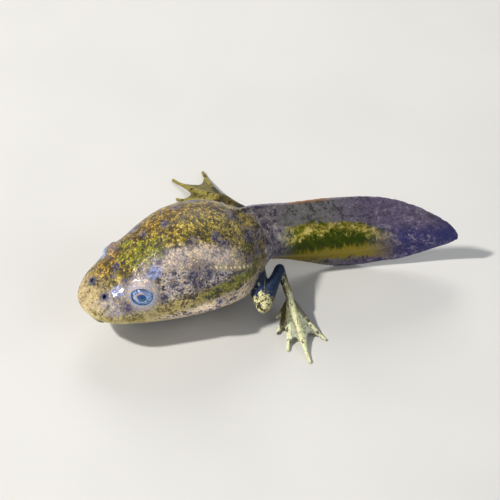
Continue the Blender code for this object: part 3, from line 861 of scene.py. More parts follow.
def leg_fields(points, outside):
    """Masks and places of the legs: leg, place from hip to ankle, foot, toe, toe's share."""
    fields = {name: np.zeros(len(points)) for name in LEG_FIELDS}
    for side in SIDES:
        joints = [np.array(joint) for joint in joints_of(side)]
        from_limb, reach = line_distance(points, joints)
        from_limb = from_limb - LIMB_FIELD_RADIUS * (1 - 0.4 * reach)
        from_toes = np.full(len(points), 1.0)
        toe_share = np.zeros(len(points))
        nearest = np.zeros(len(points))
        for number in range(5):
            line = toe_line(side, number)
            stations = [np.array(line(step / 10)) for step in range(11)]
            away, share = line_distance(points, stations)
            closer = away < from_toes
            from_toes = np.where(closer, away, from_toes)
            toe_share = np.where(closer, share, toe_share)
            nearest = np.where(closer, number, nearest)
        ankle = joints[3]
        in_foot = smooth_step(np.linalg.norm(points - ankle, axis=1), 0.3 * MM, 1.6 * MM)
        in_foot = in_foot * (from_toes - 2 * MM < from_limb) * (from_toes < 3.2 * MM)
        own = np.minimum(from_limb, np.where(in_foot > 0, from_toes - FOOT_FIELD_RADIUS, 1.0))
        leg = smooth_step(outside - own, -0.5 * MM, 0.3 * MM) * (own < 1.2 * MM)
        leg = np.where(outside < 0.15 * MM, 0, leg)
        here = leg > fields["leg"]
        toe = 1 - smooth_step(from_toes, 0.42 * MM, 0.62 * MM)
        values = (leg, reach, in_foot, toe, toe_share, nearest)
        for name, value in zip(fields, values):
            fields[name] = np.where(here, value, fields[name])
    return fields


def nearness(points, places, low, high):
    """1 within low of any of the places, and 0 beyond high."""
    away = [np.linalg.norm(points - np.array(place), axis=1) for place in places]
    return 1 - smooth_step(np.min(away, axis=0), low, high)


def spot_fields(points):
    """Nearness to the eyes, to the dark openings, and to the breathing tube's rim."""
    eyes = nearness(points, [eye_place(side)[0] for side in SIDES], EYE_RADIUS, 1.6 * EYE_RADIUS)
    nostrils = [nostril_place(side)[0] - nostril_place(side)[1] * 0.3 * MM for side in SIDES]
    stations = spiracle_stations()
    bore = opening_at_end(stations, SPIRACLE_RADIUS)
    pits = nearness(points, nostrils, 0.4 * MM, 1.15 * MM)
    openings = np.maximum(pits, nearness(points, [bore], 0.35 * MM, 0.85 * MM))
    mouth, outward = mouth_place()
    hollow = nearness(points, [mouth - outward * 0.2 * MM], 0.8 * MM, 1.6 * MM)
    rim = nearness(points, [bore], 0.5 * MM, 1.3 * MM)
    return eyes, np.maximum(openings, hollow), rim


def lid_field(points):
    """1 along the rims of the eyes' openings."""
    field = np.zeros(len(points))
    for side in SIDES:
        centre, axis = np.array(eye_place(side)[0]), np.array(eye_axis(side))
        turn = np.array(facing(eye_axis(side)))
        x, y, z = ((points - centre) @ turn).T
        oval = np.hypot(x / (EYE_OPENING_WIDTH / 2), y / (EYE_OPENING_HEIGHT / 2))
        near = (z > 0) * (np.linalg.norm(points - centre, axis=1) < EYE_RADIUS + 0.6 * MM)
        field = np.maximum(field, near * (1 - smooth_step(oval, 1.02, 1.14)))
    return field


def mark_field(points, marks):
    """1 in the middle of the nearest mark, 0.5 at its rim, and 0 at twice its radius."""
    field = np.zeros(len(points))
    for behind, around, radius in marks:
        middle = np.array(trunk_point(behind * MM, math.radians(around)))
        away = np.linalg.norm(points - middle, axis=1) / (radius * MM)
        field = np.maximum(field, 1 - away / 2)
    return field


def add_field(mesh, name, columns):
    """Stores three numbers for each point of the skin, which the material reads."""
    field = mesh.attributes.new(name, "FLOAT_VECTOR", "POINT")
    field.data.foreach_set("vector", np.stack(columns, axis=1).astype(np.float32).ravel())


def add_fields(obj):
    """Works out and stores where each point lies, in millimetres, degrees or shares."""
    mesh = obj.data
    flat = np.empty(len(mesh.vertices) * 3)
    mesh.vertices.foreach_get("co", flat)
    points = flat.reshape(-1, 3)
    behind, aside, around, outside, fin_mask, fin_share = trunk_fields(points)
    legs = leg_fields(points, outside)
    marks = [mark_field(points, chosen) for chosen in (DARK_MARKS, BLUE_MARKS, GREEN_MARKS)]
    add_field(mesh, "lie", (behind / MM, aside / MM, points[:, 2] / MM))
    add_field(mesh, "form", (around, fin_mask, fin_share))
    add_field(mesh, "limb", (legs["leg"], legs["reach"], legs["foot"]))
    add_field(mesh, "digit", (legs["toe"], legs["toe_share"], legs["number"]))
    add_field(mesh, "spot", spot_fields(points))
    add_field(mesh, "marks", marks)
    blank = np.zeros(len(points))
    add_field(mesh, "lids", (lid_field(points), blank, blank))


# Materials


class Board:
    """One material, and short calls that add nodes to it."""

    def __init__(self, name):
        self.material = bpy.data.materials.new(name)
        self.material.use_nodes = True
        self.tree = self.material.node_tree
        self.shader = self.tree.nodes["Principled BSDF"]

    def feed(self, socket, value):
        """Links a socket to a node's output, or sets its value."""
        if isinstance(value, bpy.types.NodeSocket):
            self.tree.links.new(value, socket)
        elif socket.type == "RGBA":
            socket.default_value = (*value[:3], 1)
        else:
            socket.default_value = value

    def put(self, kind, inputs, out=0, **settings):
        """Adds a node, and gives one of its outputs."""
        node = self.tree.nodes.new(kind)
        for name, value in settings.items():
            setattr(node, name, value)
        for place, value in inputs.items():
            self.feed(node.inputs[place], value)
        return node.outputs[out]

    def field(self, name):
        """The three numbers of a stored field."""
        vector = self.put("ShaderNodeAttribute", {}, out=1, attribute_name=name)
        parts = self.tree.nodes.new("ShaderNodeSeparateXYZ")
        self.feed(parts.inputs[0], vector)
        return vector, *parts.outputs

    def noise(self, vector, scale, detail=2.0, roughness=0.5):
        """Soft noise, 0 to 1."""
        return self.put("ShaderNodeTexNoise", {0: vector, 2: scale, 3: detail, 4: roughness})

    def cells(self, vector, scale):
        """A random grey for each of many small cells."""
        return self.put("ShaderNodeTexVoronoi", {0: vector, 2: scale}, out=1)

    def pebbles(self, vector, scale):
        """1 in the middle of each small cell, and 0 along its rim."""
        return self.step(self.put("ShaderNodeTexVoronoi", {0: vector, 2: scale}), 0.66, 0.2)

    def total(self, made, *terms):
        """A number plus each term's value times its factor."""
        for value, factor in terms:
            inputs = {0: value, 1: factor, 2: made}
            made = self.put("ShaderNodeMath", inputs, operation="MULTIPLY_ADD")
        return made

    def ramp(self, value, stops):
        """A colour from rows of (place, colour)."""
        colour = self.put("ShaderNodeValToRGB", {0: value})
        elements = colour.node.color_ramp.elements
        for number, (place, shade_there) in enumerate(stops):
            element = elements[number] if number < 2 else elements.new(place)
            element.position = place
            element.color = (*shade_there, 1)
        return colour

    def math(self, operation, first, second=0.0):
        """One sum, product or other operation on numbers."""
        return self.put("ShaderNodeMath", {0: first, 1: second}, operation=operation)

    def step(self, value, low, high):
        """0 below low, 1 above high, and smooth between."""
        inputs = {0: value, 1: low, 2: high, 3: 0.0, 4: 1.0}
        return self.put("ShaderNodeMapRange", inputs, interpolation_type="SMOOTHSTEP")

    def hump(self, value, low, high, soft):
        """1 between low and high, and 0 outside."""
        rise = self.step(value, low - soft, low + soft)
        fall = self.step(value, high + soft, high - soft)
        return self.math("MULTIPLY", rise, fall)

    def both(self, *masks):
        """The product of all the masks."""
        made = masks[0]
        for mask in masks[1:]:
            made = self.math("MULTIPLY", made, mask)
        return made

    def mix(self, mask, first, second, blend="MIX"):
        """The second colour over the first where the mask is 1."""
        inputs = {0: mask, 6: first, 7: second}
        return self.put(
            "ShaderNodeMix", inputs, out=2, data_type="RGBA", blend_type=blend
        )

    def set(self, **values):
        """Feeds the shader's own sockets by name."""
        for name, value in values.items():
            self.feed(self.shader.inputs[name.replace("_", " ")], value)


class SkinNoise:
    """The mottling that all parts of the skin share, from patches down to grains."""

    def __init__(self, board, lie):
        self.patch = board.noise(lie, 0.24, 2, 0.5)
        self.mottle = board.noise(lie, 0.75, 3, 0.6)
        self.fleck = board.noise(lie, 1.9, 3, 0.65)
        self.grain = board.noise(lie, 4.2, 2, 0.7)
        self.cells = board.cells(lie, 3.4)
        self.pebbles = board.pebbles(lie, 3.4)
        self.tone = board.total(-1.6, (self.cells, 0.55), (self.fleck, 1.5), (self.mottle, 2.05))
        self.wander = board.total(-40.0, (self.mottle, 50.0), (self.fleck, 30.0))
        self.rough = board.total(-1.45, (self.mottle, 1.9), (self.fleck, 1.0))


def grained(board, noise, dark, ground, light, bright):
    """Grains of four tones that gather in patches."""
    return board.ramp(noise.tone, ((0.14, dark), (0.42, ground), (0.66, light), (0.92, bright)))


def mark(board, noise, field, strength):
    """A mark with a ragged rim, from its stored field."""
    return board.both(board.step(board.total(field, (noise.rough, 1.0)), 0.42, 0.56), strength)


class Layers:
    """The body's colour, built up in layers, with what places them."""

    def __init__(self, board, c, noise, behind, around):
        self.board, self.c, self.noise, self.behind = board, c, noise, behind
        self.down = board.math("ABSOLUTE", board.math("SUBTRACT", around, 90.0))
        self.right = board.step(board.total(around, (noise.wander, 1.0)), 105.0, 70.0)
        self.left = board.math("SUBTRACT", 1.0, self.right)
        self.colour = grained(board, noise, c.back_dark, c.back, c.back_gold, c.gold_grain)

    def lay(self, mask, colour, blend="MIX"):
        """Lays a colour over what is there."""
        self.colour = self.board.mix(mask, self.colour, colour, blend)

    def grains(self, mask, dark, ground, light, bright):
        """Lays grains of four tones over what is there."""
        self.lay(mask, grained(self.board, self.noise, dark, ground, light, bright))


def lay_back(skin):
    """A darker brown tint on the right side of the back, painted shade of the far side, and a dull rear."""
    board, c, noise = skin.board, skin.c, skin.noise
    # Painted shade: the right side of the back darkened to brown.
    skin.lay(board.both(skin.right, 0.9), c.right_side_shade_tint, "MULTIPLY")
    rear = board.step(board.total(skin.behind, (noise.wander, 0.12)), 21.0, 29.0)
    skin.grains(board.both(rear, 0.6), c.back_dark, c.rear, c.rear, c.back_gold)


def lay_upper_flank(skin):
    """A pale pink painted sky reflection that sinks to the rear, and a slate band under it. Gives where they
    lie.
    """
    board, c, noise, behind = skin.board, skin.c, skin.noise, skin.behind
    sinking = board.total(skin.down, (behind, -2.1), (noise.wander, 0.4))
    # Painted sky reflection: a pale pink band on the left flank only.
    sky_reflection = board.both(
        board.hump(sinking, -12.0, 12.0, 5.0),
        board.hump(board.total(behind, (noise.wander, 0.08)), 11.5, 25.5, 2.5),
        skin.left,
    )
    skin.grains(board.both(sky_reflection, 0.9), c.slate, c.sky_reflection, c.sky_reflection, c.sky_reflection_grain)
    slate = board.both(
        board.step(sinking, 8.0, 16.0), board.step(skin.down, 76.0, 70.0),
        board.hump(behind, 11.5, 27.0, 2.0), skin.left,
    )
    skin.grains(board.both(slate, 0.85), c.blotch, c.slate, c.slate, c.back_gold)
    return board.math("MAXIMUM", sky_reflection, slate)


def lay_head(skin, green_mark):
    """A tan snout, a blue grey muzzle of painted sky reflection, a green crown and a yellow green jaw."""
    board, c, noise, behind, down = skin.board, skin.c, skin.noise, skin.behind, skin.down
    snout = board.step(board.total(behind, (noise.wander, 0.12)), 7.0, 3.5)
    skin.grains(board.both(snout, 0.85), c.back, c.snout, c.snout, c.snout_grain)
    # Painted sky reflection on the wet left muzzle, between nostril and eye.
    muzzle_sky_reflection = board.both(
        board.hump(board.total(down, (noise.wander, 0.5)), 22.0, 78.0, 8.0),
        board.hump(board.total(behind, (noise.wander, 0.06)), 3.6, 10.5, 1.5),
        skin.left,
    )
    skin.grains(board.both(muzzle_sky_reflection, 0.8), c.slate, c.blue_grey_and_sky_reflection, c.blue_grey_and_sky_reflection, c.sky_reflection_grain)
    crown = mark(board, noise, green_mark, 0.85)
    skin.grains(crown, c.back_dark, c.crown, c.crown, c.crown_grain)
    jaw = board.both(
        board.hump(board.total(down, (noise.wander, 0.3)), 72.0, 112.0, 8.0),
        board.step(behind, 20.0, 14.0),
    )
    skin.grains(board.both(jaw, 0.85), c.back_gold, c.jaw, c.jaw, c.snout_grain)


def lay_flank(skin):
    """The yellow green line, the flank under it, and dark lines of painted fold shade along both. Gives the
    line.
    """
    board, c, noise, behind = skin.board, skin.c, skin.noise, skin.behind
    bend = board.put("ShaderNodeMapRange", {0: behind, 1: 14.0, 2: 27.0, 3: 83.0, 4: 71.0})
    off_line = board.total(board.math("SUBTRACT", skin.down, bend), (noise.wander, 0.35))
    along_flank = board.hump(behind, 12.0, 30.0, 4.0)
    line = board.both(board.hump(off_line, -5.0, 6.0, 2.5), along_flank, 0.9)
    stripe = board.mix(board.step(behind, 15.0, 21.0), c.line_front, c.flank_line)
    stripe = board.mix(board.step(noise.tone, 0.42, 0.14), stripe, c.back_dark)
    skin.lay(line, board.mix(board.step(noise.tone, 0.66, 0.92), stripe, c.line_grain))
    under = board.both(board.step(off_line, 6.0, 11.0), board.step(behind, 9.0, 14.0))
    skin.grains(under, c.blotch, c.flank, c.flank, c.back_gold)
    # Dark lines of painted shade along the folds over and in the flank line.
    over_fold = board.hump(off_line, -9.5, -6.0, 1.3)
    folds = board.math("MAXIMUM", over_fold, board.hump(off_line, 1.0, 2.0, 0.8))
    skin.lay(board.both(folds, along_flank, 0.85), c.blotch)
    return line


def lay_grains(skin, pale, line):
    """Clouds, clumps, rims and pits of dark grains, painted shade low on the body's rear, and light flakes
    in each zone's tone.
    """
    board, c, noise, behind, down = skin.board, skin.c, skin.noise, skin.behind, skin.down
    upper = board.both(board.step(down, 96.0, 80.0), board.step(behind, 1.5, 5.0))
    skin.lay(board.both(board.step(noise.patch, 0.52, 0.34), upper, 0.4), c.back)
    # Painted shade: the lower rear of the body darkened.
    shaded = board.both(board.step(behind, 25.0, 31.0), board.step(down, 32.0, 52.0), 0.55)
    skin.lay(shaded, c.back_dark)
    skin.lay(board.both(board.step(noise.rough, 0.0, -0.25), upper, 0.4), c.back_dark)
    skin.lay(board.both(board.math("SUBTRACT", 1.0, noise.pebbles), upper, 0.3), c.back_dark)
    pits = board.both(board.step(noise.cells, 0.42, 0.35), board.step(noise.fleck, 0.6, 0.48))
    skin.lay(board.both(pits, upper, 0.4), c.blotch)
    flakes = board.both(board.step(noise.cells, 0.52, 0.62), noise.pebbles, upper)
    dense = board.total(0.2, (board.step(noise.rough, -0.15, 0.25), 0.65))
    # Where the painted sky reflection and the slate lie, the flakes take the reflection's pale pink.
    tone = board.mix(line, board.mix(pale, c.gold_grain, c.sky_reflection_grain), c.line_grain)
    skin.lay(board.both(flakes, dense), tone)


def body_colour(board, c, noise, behind, around, marks):
    """Gold-grained olive with its zones, a cream belly, dark and blue marks, and sense pores."""
    dark_mark, blue_mark, green_mark = marks
    skin = Layers(board, c, noise, behind, around)
    lay_back(skin)
    pale = lay_upper_flank(skin)
    lay_head(skin, green_mark)
    line = lay_flank(skin)
    lay_grains(skin, pale, line)
    low = board.total(skin.down, (noise.wander, 0.7))
    belly = board.mix(board.step(noise.mottle, 0.4, 0.62), c.belly, c.belly_grey)
    skin.lay(board.step(low, 122.0, 150.0), belly)
    blue = mark(board, noise, blue_mark, 0.85)
    skin.grains(blue, c.blotch, c.blue_mark, c.blue_mark, c.slate)
    dark = mark(board, noise, dark_mark, 0.85)
    skin.grains(dark, c.blotch, c.blotch, c.tail_root, c.back)
    lane, dots = stitches(board, noise, behind, skin.down)
    skin.lay(lane, c.rear)
    skin.lay(dots, c.pore)
    return skin.colour


def stitches(board, noise, behind, down):
    """The row of sense pores along each flank, which drops to the rear: its lane, and its dots."""
    across = board.total(-18.8, (down, 1.0), (behind, -1.7))
    across = board.math("MULTIPLY", across, 0.13)
    along = board.total(-0.4, (board.math("FRACT", board.math("MULTIPLY", behind, 1.25)), 0.8))
    away = board.total(board.math("MULTIPLY", across, across), (board.math("MULTIPLY", along, along), 1.0))
    extent = board.hump(behind, 20.5, 27.5, 1.0)
    lane = board.both(board.step(board.math("ABSOLUTE", across), 0.55, 0.2), extent, 0.5)
    return lane, board.both(board.step(away, 0.06, 0.02), board.step(noise.fleck, 0.4, 0.46), extent, 0.9)


def tail_colour(board, c, noise, lie, behind, height):
    """Down the tail's side: a fringed ochre band, dark green muscle, and brown under it."""
    stretched = board.put("ShaderNodeVectorMath", {0: lie, 1: (2.2, 2.2, 0.6)}, operation="MULTIPLY")
    fringe = board.noise(stretched, 1.0, 3, 0.7)
    level = board.total(height, (fringe, 3.6), (noise.wander, 0.02))
    rise = board.step(behind, 36.0, 42.0)
    fall = board.step(behind, 48.0, 57.0)
    top = board.total(10.9, (rise, 1.0), (fall, -3.2))
    over_band = board.math("SUBTRACT", level, top)
    chevron = board.math("ABSOLUTE", board.math("SUBTRACT", height, 5.7))
    chevron = board.math("SINE", board.total(0.0, (behind, 2.9), (chevron, 3.3), (noise.wander, 0.16)))
    streaks = board.both(board.step(chevron, -0.6, 1.0), board.step(noise.mottle, 0.38, 0.66), 0.6)
    green = board.mix(streaks, c.muscle, c.muscle_streak)
    band = board.ramp(noise.tone, ((0.1, c.muscle_streak), (0.5, c.tail_band), (0.95, c.tail_band_pale)))
    brown = board.mix(board.step(noise.fleck, 0.4, 0.6), c.tail_low, c.tail_band)
    base = board.mix(board.step(over_band, -2.3, -1.3), green, band)
    base = board.mix(board.step(level, 8.2, 6.6), base, brown)
    beyond = board.math("MAXIMUM", board.step(over_band, -0.3, 0.7), board.step(level, 4.7, 3.4))
    start = board.step(board.total(behind, (noise.wander, 0.06)), 40.0, 36.2)
    beyond = board.math("MAXIMUM", beyond, start)
    return base, board.math("MAXIMUM", beyond, board.step(behind, 50.0, 57.5))


def fin_colour(board, c, noise, behind, height, share):
    """Grey with dark and pale specks, mauve to the rear and at the root and navy at the tip, partly painted
    sky reflection over the fin's own dark; an orange margin in front.
    """
    front = grained(board, noise, c.fin_dark, c.fin, c.fin, c.fin_pale)
    # The mauve of the fins' rear and the tail's root is partly painted sky reflection over the fin's own
    # dark mottling.
    rear = grained(board, noise, c.fin_dark, c.fin_rear, c.fin_rear, c.fin_pale)
    base = board.mix(board.step(board.total(behind, (noise.wander, 0.3)), 42.0, 52.0), front, rear)
    root = board.step(board.total(behind, (noise.wander, 0.1)), 39.0, 35.0)
    base = board.mix(board.both(root, 0.8), base, grained(
        board, noise, c.blotch, c.tail_root, c.tail_root, c.sky_reflection))
    # The navy of the tip is its own dark with a painted sky reflection.
    navy = board.both(board.step(behind, 48.0, 58.0), board.step(height, 10.0, 7.0))
    base = board.mix(board.both(navy, 0.85), base, grained(
        board, noise, c.tip, c.tip, c.tip_fleck, c.fin_pale))
    base = board.mix(board.both(board.step(behind, 61.0, 65.0), 0.6), base, c.tip)
    low = board.both(board.step(height, 5.0, 2.5), board.step(behind, 46.0, 40.0), 0.5)
    base = board.mix(low, base, c.tail_low)
    edge = board.both(board.step(share, 0.93, 0.98), board.step(height, 9.0, 10.0))
    margin = board.mix(board.hump(behind, 38.5, 44.5, 1.5), c.fin_pale, c.margin)
    base = board.mix(board.both(edge, board.step(behind, 48.0, 44.0), 0.8), base, margin)
    beads = board.both(board.hump(share, 0.88, 0.96, 0.02), board.step(noise.grain, 0.5, 0.42))
    return board.mix(board.both(beads, board.step(behind, 48.0, 52.0), 0.8), base, c.fin_dark)


def leg_colour(board, c, noise, reach, foot, toe, toe_share, number):
    """Thigh and shank in navy, painted shade with a blue cast of painted sky reflection; a cream knee, cream
    toes barred dark, and pale webs.
    """
    # The navy of thigh and shank is painted shade with a blue cast of painted sky reflection; the ochre
    # mottling is their own.
    limb = board.ramp(noise.tone, ((0.2, c.thigh), (0.78, c.thigh), (1.0, c.leg_ochre)))
    cream = board.ramp(noise.tone, ((0.05, c.toe_mark), (0.3, c.leg_ochre), (0.6, c.knee), (0.95, c.toe)))
    tarsus = board.ramp(noise.tone, ((0.08, c.thigh), (0.3, c.leg_ochre), (0.6, c.web), (0.9, c.web_pale)))
    limb = board.mix(board.step(board.total(reach, (noise.rough, 0.1)), 0.7, 0.82), limb, tarsus)
    knee = board.total(reach, (noise.rough, 0.12))
    limb = board.mix(board.hump(knee, 0.285, 0.385, 0.015), limb, cream)
    inner = board.step(number, 1.7, 1.3)
    digit = board.ramp(noise.tone, ((0.1, c.toe_green), (0.6, c.toe)))
    digit = board.mix(board.both(inner, board.step(toe_share, 0.85, 0.6)), digit, c.leg_ochre)
    bars = board.step(board.total(noise.mottle, (noise.fleck, 0.5)), 0.81, 0.87)
    outer = board.both(board.step(number, 3.4, 3.6), board.hump(toe_share, 0.05, 0.46, 0.04))
    digit = board.mix(board.both(board.math("MAXIMUM", bars, outer), 0.9), digit, c.toe_mark)
    skin = board.ramp(noise.tone, ((0.0, c.leg_ochre), (0.3, c.web), (0.8, c.web_pale)))
    skin = board.mix(board.both(inner, 0.75), skin, c.leg_ochre)
    skin = board.mix(board.both(board.step(toe_share, 0.35, 0.1), 0.3), skin, c.leg_ochre)
    return board.mix(foot, limb, board.mix(toe, skin, digit))


def skin_material():
    """Moist mottled skin, whose markings follow the stored fields."""
    c = bpy.context.scene.tadpole_colours
    board = Board("moist_mottled_skin")
    lie, behind, aside, height = board.field("lie")
    _, around, fin, fin_share = board.field("form")
    _, leg, reach, foot = board.field("limb")
    _, toe, toe_share, number = board.field("digit")
    _, eyes, openings, rim = board.field("spot")
    _, lid, _, _ = board.field("lids")
    _, *marks = board.field("marks")
    noise = SkinNoise(board, lie)
    colour = body_colour(board, c, noise, behind, around, marks)
    tail, beyond = tail_colour(board, c, noise, lie, behind, height)
    fins = fin_colour(board, c, noise, behind, height, fin_share)
    tail = board.mix(beyond, tail, fins)
    at = board.total(behind, (noise.wander, 0.08))
    off_body = board.math("MAXIMUM", board.step(at, 31.8, 33.4), board.both(fin, board.step(at, 29.0, 32.0)))
    colour = board.mix(off_body, colour, tail)
    legs = leg_colour(board, c, noise, reach, foot, toe, toe_share, number)
    # Painted shade: the right leg darkened to olive.
    legs = board.mix(board.step(aside, 8.0, 12.0), legs, c.right_leg_shade_tint, "MULTIPLY")
    colour = board.mix(leg, colour, legs)
    # Painted sky reflection in pale blue grey round the eyes, mostly on the left side.
    ground = grained(board, noise, c.flank, c.blue_grey_and_sky_reflection, c.blue_grey_and_sky_reflection, c.sky_reflection_grain)
    near_side = board.total(1.0, (board.step(aside, -1.0, 1.0), -0.7))
    colour = board.mix(board.both(eyes, near_side, 0.75), colour, ground)
    # The rims of the eye openings take the ring's pale blue, painted sky reflection.
    colour = board.mix(lid, colour, c.eye_ring)
    colour = board.mix(board.both(rim, 0.5), colour, c.blue_grey_and_sky_reflection)
    # Painted shade in the nostrils, the breathing tube's bore and the mouth hollow.
    colour = board.mix(openings, colour, c.opening)
    board.set(Base_Color=colour)
    board.set(Roughness=board.total(0.3, (noise.fleck, 0.3)))
    thin = board.math("MAXIMUM", board.both(fin, 0.5), board.both(leg, foot, 0.8))
    board.set(Subsurface_Weight=board.total(0.04, (thin, 0.5)))
    board.set(Subsurface_Radius=(1.0, 0.7, 0.4), Subsurface_Scale=0.5 * MM)
    wet = board.step(behind, 12.0, 7.0)
    dry = board.total(1.0, (board.math("MAXIMUM", off_body, board.both(leg, 0.6)), -0.9))
    board.set(Coat_Weight=board.both(board.total(0.35, (wet, 0.1)), dry))
    board.set(Coat_Roughness=0.03, IOR=1.36, Specular_IOR_Level=0.2)
    relief = board.total(noise.mottle, (noise.pebbles, 0.3), (noise.grain, 0.3))
    rough = board.put("ShaderNodeBump", {"Strength": 0.8, "Distance": 0.2 * MM, "Height": relief})
    strength = board.total(0.45, (wet, -0.4))
    film = board.put("ShaderNodeBump", {"Strength": strength, "Distance": 0.2 * MM, "Height": relief})
    board.set(Normal=rough, Coat_Normal=film)
    return board.material


def eye_material():
    """A pupil, iris and outer ring in blues of painted sky reflection, copper threads of the iris's own, and
    a painted shadow of the upper lid over the top.
    """
    c = bpy.context.scene.tadpole_colours
    board = Board("eye_painted_sky_blue")
    place = board.put("ShaderNodeTexCoord", {}, out=3)
    parts = board.tree.nodes.new("ShaderNodeSeparateXYZ")
    board.feed(parts.inputs[0], place)
    x, y, _ = parts.outputs
    x, y = (board.math("DIVIDE", part, MM) for part in (x, y))
    noise = board.noise(place, 1400.0, 3, 0.6)
    fine = board.noise(place, 4200.0, 2, 0.6)
    tall = board.math("MULTIPLY", y, 1.28)
    square = board.total(board.math("MULTIPLY", x, x), (board.math("MULTIPLY", tall, tall), 1.0))
    away = board.math("SQRT", square)
    ragged = board.total(away, (noise, 0.3), (fine, 0.1))
    # The blues of the pupil and iris, and their pale streaks, are painted sky reflection.
    iris = board.ramp(board.total(-0.75, (fine, 1.3), (noise, 1.2)), (
        (0.2, c.pupil), (0.45, c.iris), (0.75, c.iris_sky_streak)))
    rays = board.math("SINE", board.total(0.0, (board.math("ARCTAN2", y, x), 14.0), (noise, 9.0)))
    iris = board.mix(board.both(board.step(rays, 0.2, 1.0), 0.35), iris, c.iris_sky_streak)
    slant = board.total(0.0, (x, -0.8), (y, 0.9))
    copper = board.both(board.hump(ragged, 0.95, 1.2, 0.06), board.step(slant, 0.0, 0.35))
    iris = board.mix(board.both(copper, 0.95), iris, c.iris_copper)
    flecks = board.both(board.step(fine, 0.6, 0.66), board.step(slant, -0.2, 0.5), 0.7)
    iris = board.mix(flecks, iris, c.iris_copper)
    # The pale outer ring is painted sky reflection.
    iris = board.mix(board.both(board.step(ragged, 1.7, 1.9), 0.35), iris, c.eye_ring)
    iris = board.mix(board.step(ragged, 2.05, 2.2), iris, c.blotch)
    shadow = board.both(board.step(board.total(y, (noise, 0.3)), 0.95, 1.4), 0.85)
    iris = board.mix(shadow, iris, c.blotch)
    colour = board.mix(board.step(ragged, 1.04, 0.94), iris, c.pupil)
    colour = board.mix(board.step(ragged, 0.7, 0.35), colour, c.pupil_deep)
    board.set(Base_Color=colour, Roughness=board.total(0.12, (shadow, 0.5)), IOR=1.4)
    board.set(Coat_Weight=board.total(1.0, (shadow, -1.1)), Coat_Roughness=0.03)
    return board.material


def beak_material():
    """Dark horn, a little worn along the edge."""
    c = bpy.context.scene.tadpole_colours
    board = Board("dark_horn")
    place = board.put("ShaderNodeTexCoord", {}, out=3)
    worn = board.step(board.noise(place, 2500.0, 3, 0.6), 0.5, 0.7)
    board.set(Base_Color=board.mix(worn, c.opening, c.back_dark), Roughness=0.3, Coat_Weight=0.4)
    return board.material


def floor_material(colour):
    """Pale matt paper with a faint cloud."""
    board = Board("pale_floor")
    place = board.put("ShaderNodeTexCoord", {}, out=3)
    cloud = board.noise(place, 30.0, 2, 0.5)
    tint = board.mix(board.both(board.step(cloud, 0.3, 0.7), 0.15), colour, (0.5, 0.5, 0.5))
    board.set(Base_Color=tint, Roughness=0.6)
    return board.material


# Sizes and colours that a user would change


def tadpole():
    """The sizes that a user may change."""
    return bpy.context.scene.tadpole_sizes


def shade(name, description, default):
    """A colour that a user may change."""
    return FloatVectorProperty(
        name=name, description=description, default=default, subtype="COLOR", size=3, min=0, max=1
    )


def size_of(name, description, default, low=0.0):
    """A length that a user may change."""
    return FloatProperty(
        name=name, description=description, default=default, min=low, unit="LENGTH", precision=5
    )


class TadpoleSizes(bpy.types.PropertyGroup):
    """Sizes of the skin's thin and raised forms."""

    skin_cell: size_of("Skin Cell", "Spacing of the skin's points", 0.15 * MM, 0.1 * MM)
    skin_softening: IntProperty(
        name="Skin Softening", description="Rounds of smoothing where forms meet", default=4, min=0
    )
    brow: size_of("Brow", "How far the skin swells round each eye", 0.4 * MM)
    flank_fold: size_of("Flank Fold", "Height of the fold along each flank", 0.16 * MM)
    fin_edge_thickness: size_of("Fin Edge", "Thickness of the fins at their edge", 0.4 * MM)
    fin_nicks: size_of("Fin Nicks", "Depth of the nicks along the upper fin's rear edge", 0.1 * MM)
    web_thickness: size_of("Web", "Thickness of the skin between the toes", 0.38 * MM)


